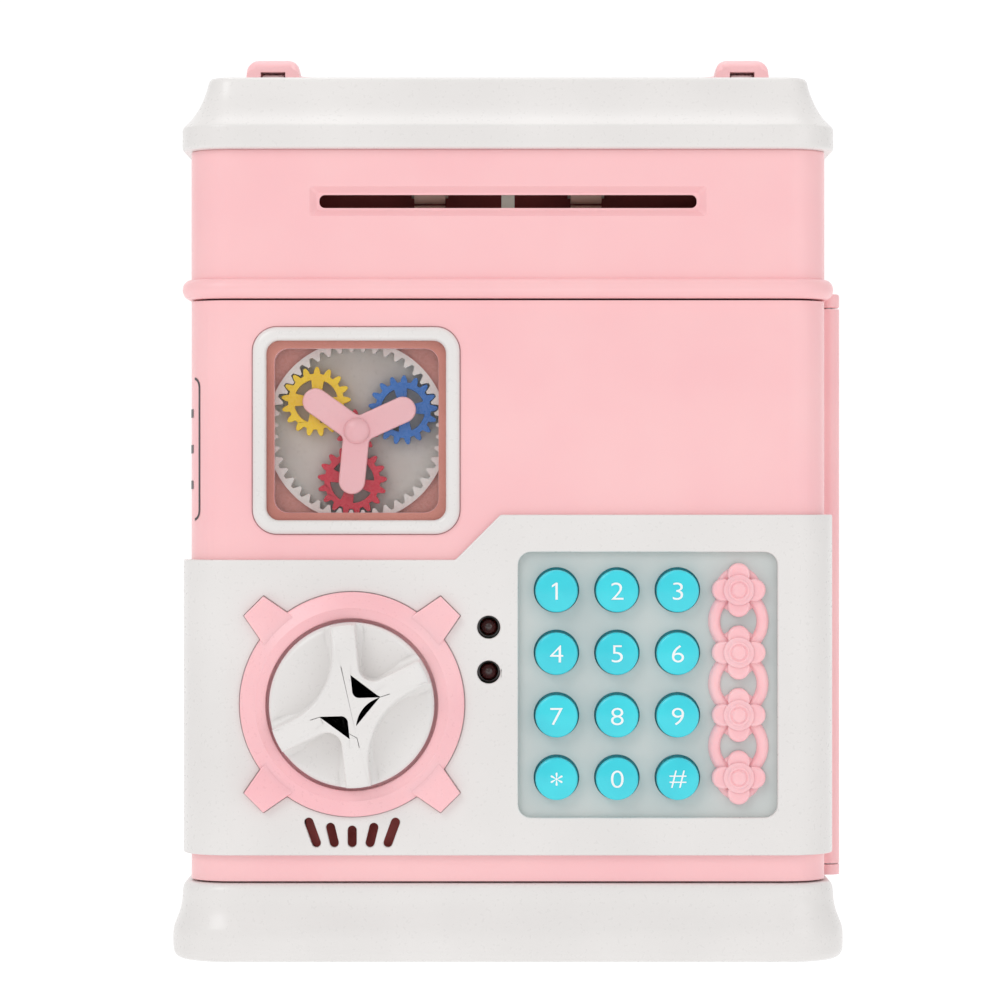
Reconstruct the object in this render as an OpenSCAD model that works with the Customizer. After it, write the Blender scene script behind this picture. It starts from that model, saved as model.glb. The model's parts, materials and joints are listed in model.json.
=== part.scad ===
// Toy safe coin bank: a moulded cabinet with a swinging door, a note slot, a coin slot,
// a keypad, a latch dial, a window with planetary gears and a folding carrying handle.
// Millimetres. +Z is up, the door faces -Y, and the origin is on the floor under the middle
// of the cabinet.

/* [Cabinet] */
// Width of the cabinet between its side faces
body_w = 136; // [134:1:140]
// Depth of the cabinet from the door's front face to the back
body_d = 118; // [116:2:130]
// Radius of the cabinet's upright corners
corner_r = 9; // [8:0.5:10]
// Wall thickness of the moulded shells
wall = 2; // [1.8:0.1:2.2]
// Height of the plinth's top edge above the floor
base_h = 16.5; // [16.5:0.5:17]
// How far the plinth stands out past the cabinet
base_flare = 3.9; // [3:0.1:5]
// Thickness of the rubber pads let flush into the underside
pad_t = 1.6; // [1.2:0.1:1.8]
// Height of the top of the door opening above the floor
door_top = 140.9; // [140:0.1:142]
// Height of the half-round bead above the door
bead_h = 4.3; // [3.5:0.1:5]
// How far the bead stands out
bead_out = 1.9; // [1:0.1:2.5]
// Height of the note housing's top edge above the floor
housing_top = 172.7; // [172:0.1:174]
// Height of the roof's flat top above the floor
roof_top = 188.4; // [188:0.1:190]

/* [Door] */
// Depth of the door from its front face to the seam
door_d = 21.7; // [21.7:0.1:22.5]
// Clearance round the door
door_gap = 0.4; // [0.3:0.1:0.6]
// Radius of the hinge knuckles
knuckle_r = 2.6; // [2.4:0.1:2.8]
// Radius of the hinge pin
hinge_pin_r = 1.2; // [1:0.1:1.3]
// Thickness of the control fascia
fascia_t = 1.7; // [1.5:0.1:1.9]
// Height of the fascia's bottom edge
fascia_bottom = 22.5; // [22:0.5:24]
// Height of the fascia's left shoulder
fascia_left = 85.3; // [84:0.1:87]
// Height of the fascia's top edge on the keypad side
fascia_top = 94.9; // [94:0.1:96]

/* [Gear window] */
// Window centre, sideways
window_x = -32.3; // [-34:0.1:-31]
// Window centre, height
window_z = 112.8; // [112:0.1:114]
// Outside width of the square window frame
window_w = 44; // [43:0.5:46]
// Module of the toothed parts
gear_m = 0.8; // [0.78:0.01:0.8]
// Direction of the carrier's first arm, from the right
carrier_angle = 24.5; // [0:0.5:90]

/* [Dial] */
// Dial centre, sideways
dial_x = -33.1; // [-34:0.1:-32.5]
// Dial centre, height
dial_z = 54.65; // [54:0.05:55]
// Radius of the dial
dial_r = 17.5; // [17:0.1:17.8]
// Radius of the hole that the dial turns in
dial_hole_r = 18.25; // [18:0.05:18.6]
// Outside radius of the dial's bezel ring
bezel_r = 23.84; // [23:0.02:24.5]
// How far the dial's grip stands out from the fascia
dial_out = 11.8; // [10:0.2:13]

/* [Keypad] */
// Keypad centre, sideways
keypad_x = 29.7; // [29.5:0.1:30]
// Keypad centre, height
keypad_z = 58.76; // [58.5:0.02:59]
// Spacing of the key columns
key_dx = 12.86; // [12.5:0.02:13]
// Spacing of the key rows
key_dz = 13.28; // [13:0.02:13.4]
// Radius of a key
key_r = 4.5; // [4.2:0.1:4.6]
// Radius of the hole that a key moves in
key_hole_r = 4.85; // [4.8:0.05:5]
// Travel of a key
key_travel = 1.2; // [0.8:0.1:1.2]

/* [Slots] */
// Width of the note slot
note_w = 80.4; // [76:0.4:82]
// Height of the note slot
note_h = 2.8; // [2.4:0.1:3.2]
// Height of the note slot's middle above the floor
note_z = 161.6; // [161:0.1:162]
// Length of the coin slot in the roof
coin_l = 34; // [30:1:35]
// Width of the coin slot in the roof
coin_w = 3.6; // [3:0.1:4]

/* [Handle] */
// Distance between the middles of the handle's arms
handle_span = 106.4; // [104:0.2:107]
// Width of each handle arm
handle_w = 12; // [11:0.5:12.5]
// Reach of the handle from its pivot
handle_reach = 40; // [36:1:42]

/* [Hidden] */

$fn = 64;
eps = 0.01;
corner_steps = 8;

// Planes through the depth, front to back
front_y = -body_d / 2;
back_y = body_d / 2;
door_back = front_y + door_d;
seam_y = door_back + 0.3;
fascia_y = front_y - fascia_t;
inner_y = front_y + wall;
cover_t = 1.5;
cover_y = door_back - cover_t;

// Hinge line
hinge_x = body_w / 2 + 1.7;
hinge_y = door_back + 0.15;
relief_r = knuckle_r + 0.3;
ear_top = door_top + 1.9;
ear_bottom = base_h + 2.2;
knuckle_top = door_top - 1.1;
knuckle_bottom = ear_bottom + 0.25;
pin_fit = 0.05;

// Toothed parts
pressure = 25;
sun_n = 10;
planet_n = 17;
ring_n = sun_n + 2 * planet_n;
drive_n = 20;
addendum = 0.8 * gear_m;
dedendum = gear_m;
slack_deg = 0.55;
planet_d = gear_m * (sun_n + planet_n) / 2;
ring_w = 38.4;
mask_w = 35;
gear_front = front_y + 5.1;
gear_back = front_y + 7.9;
plate_front = front_y + 8.1;
pocket_floor = front_y + 9.6;
pocket_w = 38.9;
axle_r = 1;

// Latch
latch_front = door_back + 2.4;
latch_back = latch_front + 3;
rack_z = dial_z - gear_m * sun_n / 2;
bolt_left = -57.7;
bolt_travel = gear_m * sun_n / 2 * PI / 2;
plunger_x = -40;
plunger_y = (latch_front + latch_back) / 2;
shaft_r = 3;
shaft_fit = 0.06;

// Note feed
tyre_r = 5.5;
tyre_x = 16.8;
tyre_w = 6.6;
feed_y = front_y + 11;
feed_z = note_z + tyre_r + 0.15;
pinch_z = note_z - tyre_r - 0.15;
feed_shaft_r = 1.5;
bracket_x = 42.5;
bracket_t = 3;
drive_x = bracket_x + 5.5;
drive_w = 3;
drive_d = gear_m * (sun_n + drive_n) / 2;
motor_y = feed_y + drive_d * cos(45);
motor_z = feed_z + drive_d * sin(45);
flag_y = front_y + 6;
flag_z = note_z + 10.4;
coin_y = -22;
tray_z = door_top + 0.2;
tray_t = 1.8;

// Battery bay
cell_r = 7.1;
cell_l = 49.2;
cell_pitch = 15.2;
bay_w = 47;
bay_y0 = -12;
bay_y1 = 44;
floor_z = wall;
cell_z = floor_z + cell_r + 0.2;
bay_top = cell_z + cell_r + 0.3;

// Handle
pivot_z = roof_top + 3.8;
handle_top = roof_top + 10;
handle_low = roof_top + 2.4;

pivot_half = 3.5;
lug_w = 5;
lug_fit = 0.3;

// Door furniture
board_y = front_y + 6.6;
board_low = [-8.5, 27];
board_high = [62.6, 91];
board_posts = [[-6, 29.2], [-6, 88.8]];
plate_w = 57.4;
plate_h = 58.6;
plate_t = 1.6;
key_sag = 0.2;
key_front = front_y - 3.3;
flange_y = front_y + plate_t + 0.25;
flower_x = keypad_x + 19.3;
led_x = -4.1;
led_z = [71, 61.45];
led_hole_r = 2.45;
speaker_z = 30;
// Opening in the door behind the sound slots
sound_z = 27.4;
sound_w = 21.8;
sound_h = 7.6;

// Direction of the dial's first arm, angle to the second, and half an arm's width
dial_arm = 25.3;
dial_gap = 70.5;
arm_half = 2.6;

// Lower and upper ends of the sound slots, measured from the dial's middle line
slot_half = 0.95;
slots = [for (i = [-2:2]) [[3.8 * i, 25.2], [4.6 * i, i == 0 ? 27.9 : 27.4 + 1.1 * abs(i)]]];

// Screws
screw_r = 1.3;
screw_xy = [[-58, -46], [58, -46], [-58, 46], [58, 46]];
roof_screw_x = 55;
lip_w = 8;
lip_t = 1.8;
door_post_x = 61;
door_post_z = [22.5, 134.5];

// Offsets and heights of the plinth's moulding, lowest first
plinth_profile = [[base_flare - 2.5, 0], [base_flare - 1.2, 0.5], [base_flare - 0.4, 1.4],
    [base_flare, 2.8], [base_flare, 5.2], [base_flare - 0.2, 6.6], [base_flare - 0.7, base_h - 8.3],
    [base_flare - 1.3, base_h - 6.9], [base_flare - 1.8, base_h - 5.1],
    [base_flare - 2, base_h - 3], [base_flare - 2.2, base_h - 0.9],
    [base_flare - 2.7, base_h - 0.2], [base_flare - 3.7, base_h]];

// Half-round bead at the foot of the note housing, then its straight wall
bead_profile = concat(
    [for (i = [0:12]) [bead_out * sin(15 * i), door_top + bead_h / 2 * (1 - cos(15 * i))]],
    [[0, housing_top]]);

// Offsets and heights of the roof's moulding, lowest first, its cove a run of an ellipse
roof_profile = concat(
    [[bead_out - 0.6, housing_top], [bead_out - 0.1, housing_top + 0.3],
        [bead_out, housing_top + 0.9], [bead_out, housing_top + 4.6],
        [bead_out - 0.25, housing_top + 5.3]],
    [for (i = [1:6]) [bead_out - 0.5 - 5.2 * sin(15 * i), roof_top - 0.9 - 8.6 * cos(15 * i)]],
    [[bead_out - 6.1, roof_top - 0.3], [bead_out - 6.9, roof_top]]);

// Points along an arc about (cx, cy) from angle a0 to a1
function arc(cx, cy, r, a0, a1, n = corner_steps) =
    [for (i = [0:n]) let (a = a0 + (a1 - a0) * i / n) [cx + r * cos(a), cy + r * sin(a)]];

// Outline of an oval from its two half sizes, centred on the origin
function oval(a, b, n = 48) = [for (i = [0:n - 1]) [a * cos(360 * i / n), b * sin(360 * i / n)]];

// Outline of a rectangle with rounded corners, centred on the origin
function rounded(w, d, r) = concat(
    arc(w / 2 - r, d / 2 - r, r, 0, 90),
    arc(r - w / 2, d / 2 - r, r, 90, 180),
    arc(r - w / 2, r - d / 2, r, 180, 270),
    arc(w / 2 - r, r - d / 2, r, 270, 360));

// Plan outline of the door, grown by off at its front and sides, ending at y = back
function door_plan(off, back) = concat(
    [[body_w / 2 + off, back], [-body_w / 2 - off, back]],
    arc(corner_r - body_w / 2, front_y + corner_r, corner_r + off, 180, 270),
    arc(body_w / 2 - corner_r, front_y + corner_r, corner_r + off, 270, 360));

// Plan outline of the cabinet behind the door, grown by off at its back and sides
function cabinet_plan(off, front) = concat(
    [[-body_w / 2 - off, front], [body_w / 2 + off, front]],
    arc(body_w / 2 - corner_r, back_y - corner_r, corner_r + off, 0, 90),
    arc(corner_r - body_w / 2, back_y - corner_r, corner_r + off, 90, 180));

// Involute of an angle, in degrees
function involute(a) = tan(a) * 180 / PI - a;

// Half the angle that a tooth fills at radius r, for n teeth, grown by grow degrees
function tooth_half(n, r, grow) =
    let (pitch_r = gear_m * n / 2, base_r = pitch_r * cos(pressure))
    90 / n + grow + involute(pressure) - involute(acos(min(1, base_r / max(r, base_r))));

// Outline of an involute gear with its first tooth centred on angle turn
function gear_outline(n, add, ded, grow, turn) =
    let (pitch_r = gear_m * n / 2)
    let (start_r = max(pitch_r * cos(pressure), pitch_r - ded))
    let (radii = concat([pitch_r - ded], [for (i = [0:5]) start_r + (pitch_r + add - start_r) * i / 5]))
    let (first = pitch_r - ded < start_r - eps ? 0 : 1)
    [for (t = [0:n - 1]) let (mid = turn + 360 * t / n)
        for (side = [-1, 1]) for (k = [first:6])
            let (i = side < 0 ? k : 6 + first - k)
            let (a = mid + side * tooth_half(n, radii[i], grow))
            [radii[i] * cos(a), radii[i] * sin(a)]];

// Turns of the gears about their own axes, so that every mesh starts with tooth in space
function planet_turn(i) =
    let (a = carrier_angle + 120 * i)
    a - a * ring_n / planet_n;
sun_turn = let (a = carrier_angle, p = planet_turn(0))
    a - (p - a - 180) * planet_n / sun_n + 180 / sun_n;

// Puts a flat drawing in X and Z upright, its back at depth y and growing towards the front
module front(y) {
    translate([0, y, 0]) rotate([90, 0, 0]) children();
}

// Puts a flat drawing in X and Z upright between depths y0, nearer the front, and y1
module upright(y0, y1) {
    front(y1) linear_extrude(y1 - y0) children();
}

// Puts a flat drawing in Y and Z upright between x0 and x1
module crosswise(x0, x1) {
    translate([x0, 0, 0]) rotate([90, 0, 90]) linear_extrude(x1 - x0) children();
}

// Cylinder along Y, from depth y0 to y1, at sideways place x and height z
module rod_y(x, z, r, y0, y1) {
    translate([x, y1, z]) rotate([90, 0, 0]) cylinder(r = r, h = y1 - y0);
}

// Cylinder along X, from x0 to x1
module rod_x(y, z, r, x0, x1) {
    translate([x0, y, z]) rotate([0, 90, 0]) cylinder(r = r, h = x1 - x0);
}

// Box between two corners
module block(low, high) {
    translate(low) cube(high - low);
}

// Closed skin round the cabinet's plan through a list of [offset, height], lowest first
module loft(profile, w, d, r) {
    ring = 4 * (corner_steps + 1);
    points = [for (p = profile) for (q = rounded(w + 2 * p[0], d + 2 * p[0], r + p[0]))
        [q[0], q[1], p[1]]];
    last = (len(profile) - 1) * ring;
    sides = [for (k = [0:len(profile) - 2]) for (j = [0:ring - 1])
        let (a = k * ring + j, b = k * ring + (j + 1) % ring)
        [a, a + ring, b + ring, b]];
    polyhedron(points, concat([[for (j = [0:ring - 1]) j]],
        [[for (j = [ring - 1:-1:0]) last + j]], sides), convexity = 4);
}

// Pan-head screw standing on its head, its shank pointing along +Z
module screw(head_r, head_h, shank) {
    difference() {
        union() {
            cylinder(r = head_r, h = head_h);
            cylinder(r = screw_r, h = head_h + shank);
        }
        translate([-head_r * 0.6, -0.3, -eps]) cube([head_r * 1.2, 0.6, head_h * 0.5]);
        translate([-0.3, -head_r * 0.6, -eps]) cube([0.6, head_r * 1.2, head_h * 0.5]);
    }
}

// ---------- Base and power ----------

// White flared plinth, a tray that holds the battery bay
module base_plinth() {
    color("white") difference() {
        union() {
            difference() {
                loft(plinth_profile, body_w, body_d, corner_r);
                translate([0, 0, floor_z]) linear_extrude(base_h)
                    polygon(rounded(body_w - 2 * wall, body_d - 2 * wall, corner_r - wall));
            }
            block([-bay_w / 2 - 1.5, bay_y0 - 1.5, floor_z - 0.5],
                [bay_w / 2 + 1.5, bay_y1 + 1.5, base_h - 0.3]);
            translate([0, bay_y0 - 6, floor_z - 0.5]) cylinder(r = 3.2, h = 9);
        }
        block([-bay_w / 2, bay_y0, -1], [bay_w / 2, bay_y1, base_h + 1]);
        block([-bay_w / 2 - 1, bay_y0 - 10, -1], [bay_w / 2 + 1, bay_y1 + 1, floor_z - 0.4]);
        translate([0, bay_y0 - 6, -1]) cylinder(r = screw_r + 0.02, h = 12);
        for (p = screw_xy) {
            translate([p[0], p[1], -1]) cylinder(r = 1.7, h = floor_z + 2);
            translate([p[0], p[1], -1]) cylinder(r = 3, h = 2.3);
        }
        for (sx = [-1, 1]) for (sy = [-1, 1])
            translate([sx * 47, sy * 44, -1]) cylinder(r = 6.2, h = pad_t + 1);
    }
}

// Four round pads let into the underside of the plinth
module rubber_feet() {
    color("dimgray") for (sx = [-1, 1]) for (sy = [-1, 1]) translate([sx * 47, sy * 44, 0])
        rotate_extrude() polygon([[0, 0], [5.6, 0], [6, 0.4], [6, pad_t], [0, pad_t]]);
}

// Removable lid of the battery bay, held by one screw
module battery_cover() {
    color("white") difference() {
        union() {
            block([-bay_w / 2 - 0.8, bay_y0 - 9.8, 0], [bay_w / 2 + 0.8, bay_y1 + 0.8, floor_z - 0.5]);
            for (x = [-12, 12]) block([x - 4, bay_y1 - 3, 0], [x + 4, bay_y1 - 0.4, floor_z - 0.1]);
        }
        translate([0, bay_y0 - 6, -1]) cylinder(r = 1.7, h = 5);
        translate([0, bay_y0 - 6, -1]) cylinder(r = 3, h = 1.9);
        for (i = [0:4]) block([-8, 30 + i * 2.4, -1], [8, 31 + i * 2.4, 0.5]);
    }
}

// Screws through the plinth into the cabinet, through the battery lid and up into the roof
module case_screws() {
    color("silver") {
        for (p = screw_xy) translate([p[0], p[1], 0.2]) screw(2.7, 1.1, 9);
        translate([0, bay_y0 - 6, 0.1]) screw(2.7, 0.8, 7);
        for (sx = [-1, 1]) for (sy = [-1, 1])
            translate([sx * roof_screw_x, sy * 49, housing_top - 4.1]) screw(2.7, 1.2, 8);
    }
}

// Three AA cells side by side
module aa_cells() {
    color("darkorange") for (i = [-1:1]) translate([i * cell_pitch, bay_y0 + 5.1, cell_z])
        rotate([-90, 0, 0]) union() {
            cylinder(r = cell_r, h = cell_l);
            cylinder(r = 2.7, h = cell_l + 1.2);
        }
}

// Conical coil of round wire, standing along +Z
module coil_spring(r0, r1, h, turns, wire_r) {
    steps = 12 * turns;
    sides = 6;
    points = [for (i = [0:steps]) let (a = 360 * turns * i / steps)
        let (r = r0 + (r1 - r0) * i / steps, z = wire_r + (h - 2 * wire_r) * i / steps)
        for (s = [0:sides - 1]) let (b = 360 * s / sides, q = r + wire_r * cos(b))
            [q * cos(a), q * sin(a), z + wire_r * sin(b)]];
    skin = [for (i = [0:steps - 1]) for (s = [0:sides - 1])
        let (a = i * sides + s, b = i * sides + (s + 1) % sides)
        [a, b, b + sides, a + sides]];
    polyhedron(points, concat([[for (s = [sides - 1:-1:0]) s]],
        [[for (s = [0:sides - 1]) steps * sides + s]], skin), convexity = 6);
}

// Sprung contact at one end of each cell and a flat contact at the other
module battery_contacts() {
    color("silver") for (i = [-1:1]) {
        block([i * cell_pitch - 4.5, bay_y0 + 0.05, cell_z - 4.5],
            [i * cell_pitch + 4.5, bay_y0 + 0.45, cell_z + 4.5]);
        block([i * cell_pitch - 4.5, bay_y1 - 0.45, cell_z - 4.5],
            [i * cell_pitch + 4.5, bay_y1 - 0.05, cell_z + 4.5]);
        translate([i * cell_pitch, bay_y0 + 0.5, cell_z]) rotate([-90, 0, 0])
            coil_spring(4, 2.2, 4.5, 3, 0.3);
    }
}

// ---------- Cabinet ----------

// Pink box behind the door: floor, back, sides and the lip that the bolt hooks behind
module body_shell() {
    color("pink") difference() {
        union() {
            difference() {
                translate([0, 0, base_h]) linear_extrude(door_top - base_h)
                    polygon(cabinet_plan(0, seam_y));
                translate([0, 0, base_h + wall]) linear_extrude(door_top)
                    polygon(cabinet_plan(-wall, seam_y - 1));
            }
            translate([0, 0, base_h - 1.5]) linear_extrude(1.5)
                polygon(rounded(body_w - 2 * wall - 0.6, body_d - 2 * wall - 0.6, corner_r - wall));
            block([-bay_w / 2 - 3.8, bay_y0 - 3.8, base_h - 1],
                [bay_w / 2 + 3.8, bay_y1 + 3.8, bay_top + wall]);
            block([eps - body_w / 2, seam_y, base_h + 1], [lip_w - body_w / 2, seam_y + lip_t, door_top]);
            block([body_w / 2 - 6, seam_y, base_h + 1], [body_w / 2 - eps, seam_y + 6, door_top]);
            block([1 - body_w / 2, seam_y, base_h + 1], [body_w / 2 - 1, seam_y + lip_t, base_h + wall + 4]);
            for (sx = [-1, 1]) translate([sx * 61, 52, base_h + 1])
                cylinder(r = 4, h = door_top - base_h - 1);
            translate([hinge_x, hinge_y, base_h]) cylinder(r = knuckle_r, h = ear_bottom - base_h);
            for (p = screw_xy) translate([p[0], p[1], floor_z + 0.1])
                cylinder(r = 3.4, h = base_h - floor_z - 1);
        }
        translate([hinge_x, hinge_y, ear_bottom]) cylinder(r = relief_r, h = door_top);
        translate([hinge_x, hinge_y, base_h + 0.2]) cylinder(r = hinge_pin_r + 0.01, h = door_top);
        block([-bay_w / 2 - 1.8, bay_y0 - 1.8, 0], [bay_w / 2 + 1.8, bay_y1 + 1.8, bay_top]);
        for (p = screw_xy) translate([p[0], p[1], 0]) cylinder(r = screw_r + 0.02, h = 14);
    }
}

// Pink housing above the door, with the note slot in front and a bead round its foot
module upper_housing() {
    color("pink") difference() {
        union() {
            difference() {
                loft(bead_profile, body_w, body_d, corner_r);
                translate([0, 0, door_top - 1]) linear_extrude(housing_top)
                    polygon(rounded(body_w - 2 * wall, body_d - 2 * wall, corner_r - wall));
            }
            translate([hinge_x, hinge_y, knuckle_top]) cylinder(r = knuckle_r, h = ear_top - knuckle_top);
            for (sx = [-1, 1]) for (sy = [-1, 1]) difference() {
                translate([sx * 59.3, sy * 49, housing_top - 1.4]) cube([14.4, 10, 2.8], center = true);
                translate([sx * roof_screw_x, sy * 49, housing_top - 4]) cylinder(r = 1.6, h = 5);
            }
        }
        translate([hinge_x, hinge_y, 0]) cylinder(r = hinge_pin_r + 0.01, h = ear_top - 0.5);
        upright(front_y - 1, inner_y + 1) translate([0, note_z]) polygon(rounded(note_w, note_h, 1));
        note_bevel();
    }
}

// Funnel that leads a note into the slot, cut from the front of the housing
module note_bevel() {
    outer = [note_w / 2 + 2.05, note_h / 2 + 1.75];
    inner = [note_w / 2 + 0.6, note_h / 2 + 0.5];
    sides = [[outer, front_y - 0.2], [inner, front_y + 1.2]];
    points = [for (s = sides) for (q = [[-1, -1], [1, -1], [1, 1], [-1, 1]])
        [q[0] * s[0][0], s[1], note_z + q[1] * s[0][1]]];
    polyhedron(points, [[3, 2, 1, 0], [4, 5, 6, 7], [1, 5, 4, 0], [2, 6, 5, 1], [3, 7, 6, 2], [0, 4, 7, 3]]);
}

// White moulded roof with the coin slot and the two lugs of the handle
module roof() {
    color("white") difference() {
        union() {
            difference() {
                loft(roof_profile, body_w, body_d, corner_r);
                translate([0, 0, housing_top - 1]) linear_extrude(7)
                    polygon(rounded(body_w - 2 * wall, body_d - 2 * wall, corner_r - wall));
                translate([0, 0, housing_top + 5]) linear_extrude(roof_top - housing_top - 7)
                    polygon(rounded(body_w - 13, body_d - 13, 4));
            }
            translate([0, coin_y, roof_top - 1]) linear_extrude(1.8)
                polygon(rounded(coin_l + 8, coin_w + 7, 4));
            for (sx = [-1, 1]) translate([sx * handle_span / 2 - lug_w / 2, 0, 0]) {
                rod_x(0, pivot_z, 2.5, 0, lug_w);
                block([0, -2.5, roof_top - 1], [lug_w, 2.5, pivot_z]);
            }
            for (sx = [-1, 1]) for (sy = [-1, 1]) translate([sx * roof_screw_x, sy * 49, housing_top + 0.1])
                cylinder(r = 3.4, h = roof_top - housing_top - 1);
        }
        for (sx = [-1, 1]) for (sy = [-1, 1]) translate([sx * roof_screw_x, sy * 49, housing_top - 1])
            cylinder(r = screw_r + 0.02, h = 8);
        translate([0, coin_y, housing_top]) linear_extrude(roof_top)
            polygon(rounded(coin_l, coin_w, coin_w / 2 - 0.1));
        for (sx = [-1, 1]) rod_x(0, pivot_z, hinge_pin_r + 0.01,
            sx * handle_span / 2 - lug_w, sx * handle_span / 2 + lug_w);
    }
}

// Tube that drops coins from the roof slot past the note rollers
module coin_chute() {
    color("mistyrose") difference() {
        union() {
            translate([0, coin_y, tray_z + tray_t + 0.3])
                linear_extrude(roof_top - wall - tray_z - tray_t - 0.4)
                polygon(rounded(coin_l + 5, coin_w + 4.4, 2));
            translate([0, coin_y, roof_top - wall - 1.6]) linear_extrude(1.5)
                polygon(rounded(coin_l + 12, coin_w + 9, 2.5));
        }
        translate([0, coin_y, tray_z]) linear_extrude(roof_top)
            polygon(rounded(coin_l + 2, coin_w + 1.4, 1));
    }
}

// Plate under the note rollers with their two bearing brackets and the slope that turns notes down
module mechanism_tray() {
    color("mistyrose") difference() {
        union() {
            difference() {
                translate([0, 0, tray_z]) linear_extrude(tray_t)
                    polygon(rounded(body_w - 2 * wall - 0.6, body_d - 2 * wall - 0.6, corner_r - wall));
                block([-50, -36, tray_z - 1], [50, 46, tray_z + 3]);
            }
            for (sx = [-1, 1]) translate([sx > 0 ? bracket_x : -bracket_x - bracket_t, 0, 0])
                crosswise(0, bracket_t) polygon([[feed_y - 6.5, tray_z + 0.5], [-33, tray_z + 0.5],
                    [-33, feed_z + 4], [feed_y, feed_z + 4], [feed_y - 3, flag_z + 1.4],
                    [feed_y - 6.5, flag_z + 1.4]]);
            crosswise(bracket_x, bracket_x + bracket_t) polygon([[feed_y - 1, feed_z + 3],
                [-33, feed_z + 3], [-33, motor_z + 4], [motor_y - 5, motor_z + 4]]);
            crosswise(-bracket_x - 0.5, bracket_x + 0.5) polygon([[-41.5, note_z + 3], [-40.3, note_z + 3],
                [-34.8, tray_z + 5], [-34.8, tray_z + 0.5], [-36, tray_z + 0.5], [-36, tray_z + 5]]);
            rod_x(flag_y, flag_z, 1, -bracket_x - 0.5, bracket_x + 0.5);
        }
        rod_x(feed_y, feed_z, feed_shaft_r + pin_fit, -60, 60);
        rod_x(feed_y, pinch_z, feed_shaft_r + pin_fit, -60, 60);
        rod_x(motor_y, motor_z, axle_r + pin_fit, 30, 60);
    }
}

// Small motor can against the right-hand bracket
module feed_motor() {
    color("silver") difference() {
        union() {
            rod_x(motor_y, motor_z, 6, bracket_x - 20.1, bracket_x - 0.1);
            rod_x(motor_y, motor_z, 2.5, bracket_x - 21.6, bracket_x - 20);
        }
        rod_x(motor_y, motor_z, axle_r + 0.04, bracket_x - 6, bracket_x + 1);
    }
}

// Steel rod through the two ears and the long door knuckle
module hinge_pin() {
    color("silver") translate([hinge_x, hinge_y, base_h + 0.3])
        cylinder(r = hinge_pin_r, h = ear_top - base_h - 0.9);
}

// Steel pins of the carrying handle
module handle_pins() {
    color("silver") for (sx = [-1, 1]) rod_x(0, pivot_z, hinge_pin_r,
        sx * handle_span / 2 - handle_w / 2 + 0.6, sx * handle_span / 2 + handle_w / 2 - 0.6);
}

// Upper roller: shaft, two hubs and the driven gear
module feed_roller() {
    color("ivory") union() {
        rod_x(feed_y, feed_z, feed_shaft_r, -bracket_x - bracket_t - 1, drive_x + drive_w);
        for (sx = [-1, 1])
            rod_x(feed_y, feed_z, 4.3, sx * tyre_x - tyre_w / 2 - 0.6, sx * tyre_x + tyre_w / 2 + 0.6);
        translate([0, feed_y, feed_z]) crosswise(drive_x, drive_x + drive_w)
            polygon(gear_outline(drive_n, addendum, dedendum, -slack_deg, 45));
    }
}

// Rubber tyres of the upper roller
module feed_tyres() {
    color("tan") for (sx = [-1, 1]) difference() {
        rod_x(feed_y, feed_z, tyre_r, sx * tyre_x - tyre_w / 2, sx * tyre_x + tyre_w / 2);
        rod_x(feed_y, feed_z, 4.3, sx * tyre_x - tyre_w, sx * tyre_x + tyre_w);
    }
}

// Motor shaft with its pinion, in mesh with the gear of the upper roller
module motor_pinion() {
    color("gold") union() {
        translate([0, motor_y, motor_z]) crosswise(drive_x, drive_x + drive_w)
            polygon(gear_outline(sun_n, addendum, dedendum, -slack_deg, 225 + 180 / sun_n));
        rod_x(motor_y, motor_z, axle_r, bracket_x - 5, drive_x + drive_w);
    }
}

// Lower idle roller
module pinch_roller() {
    color("tan") union() {
        rod_x(feed_y, pinch_z, feed_shaft_r, -bracket_x - bracket_t - 1, bracket_x + bracket_t + 1);
        for (sx = [-1, 1]) rod_x(feed_y, pinch_z, tyre_r, sx * tyre_x - tyre_w / 2, sx * tyre_x + tyre_w / 2);
    }
}

// Lever that a note pushes back to start the motor
module note_flag() {
    color("ivory") difference() {
        union() {
            rod_x(flag_y, flag_z, 2, -1.4, 1.4);
            block([-1.4, flag_y - 0.6, note_z - 2.6], [1.4, flag_y + 0.6, flag_z]);
        }
        rod_x(flag_y, flag_z, 1 + pin_fit, -3, 3);
    }
}

// ---------- Carrying handle ----------

// Folding bail: two forked arms joined by a grip, lying back on the roof
module handle() {
    arm_x = handle_span / 2;
    half = handle_w / 2;
    color("pink") difference() {
        union() {
            difference() {
                translate([0, handle_reach / 2 - 0.5, handle_low]) linear_extrude(handle_top - handle_low)
                    polygon(rounded(handle_span + handle_w, handle_reach + 1, 7));
                translate([0, handle_reach / 2 - 15.5, handle_low - 1]) linear_extrude(20)
                    polygon(rounded(handle_span - handle_w, handle_reach + 11, 5));
                block([-80, -10, 0], [80, 6, roof_top + 20]);
            }
            for (sx = [-1, 1]) translate([sx * arm_x - half, 0, pivot_z]) crosswise(0, handle_w)
                polygon(concat([[8, handle_top - pivot_z], [0.5, handle_top - pivot_z]],
                    arc(0.5, handle_top - pivot_z - 4, 4, 90, 180, 4),
                    arc(0, 0, pivot_half, 180, 270, 6), [[8, handle_low - pivot_z]]));
        }
        for (sx = [-1, 1]) {
            block([sx * arm_x - lug_w / 2 - lug_fit, -5, pivot_z - 5],
                [sx * arm_x + lug_w / 2 + lug_fit, 2.9, pivot_z]);
            block([sx * arm_x - lug_w / 2 - lug_fit, -5, pivot_z - 1],
                [sx * arm_x + lug_w / 2 + lug_fit, 0, pivot_z + 2.85]);
            rod_x(0, pivot_z, 2.85, sx * arm_x - lug_w / 2 - lug_fit, sx * arm_x + lug_w / 2 + lug_fit);
            rod_x(0, pivot_z, hinge_pin_r + pin_fit, sx * arm_x - half - 1, sx * arm_x + half + 1);
        }
    }
}

// ---------- Door ----------

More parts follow.
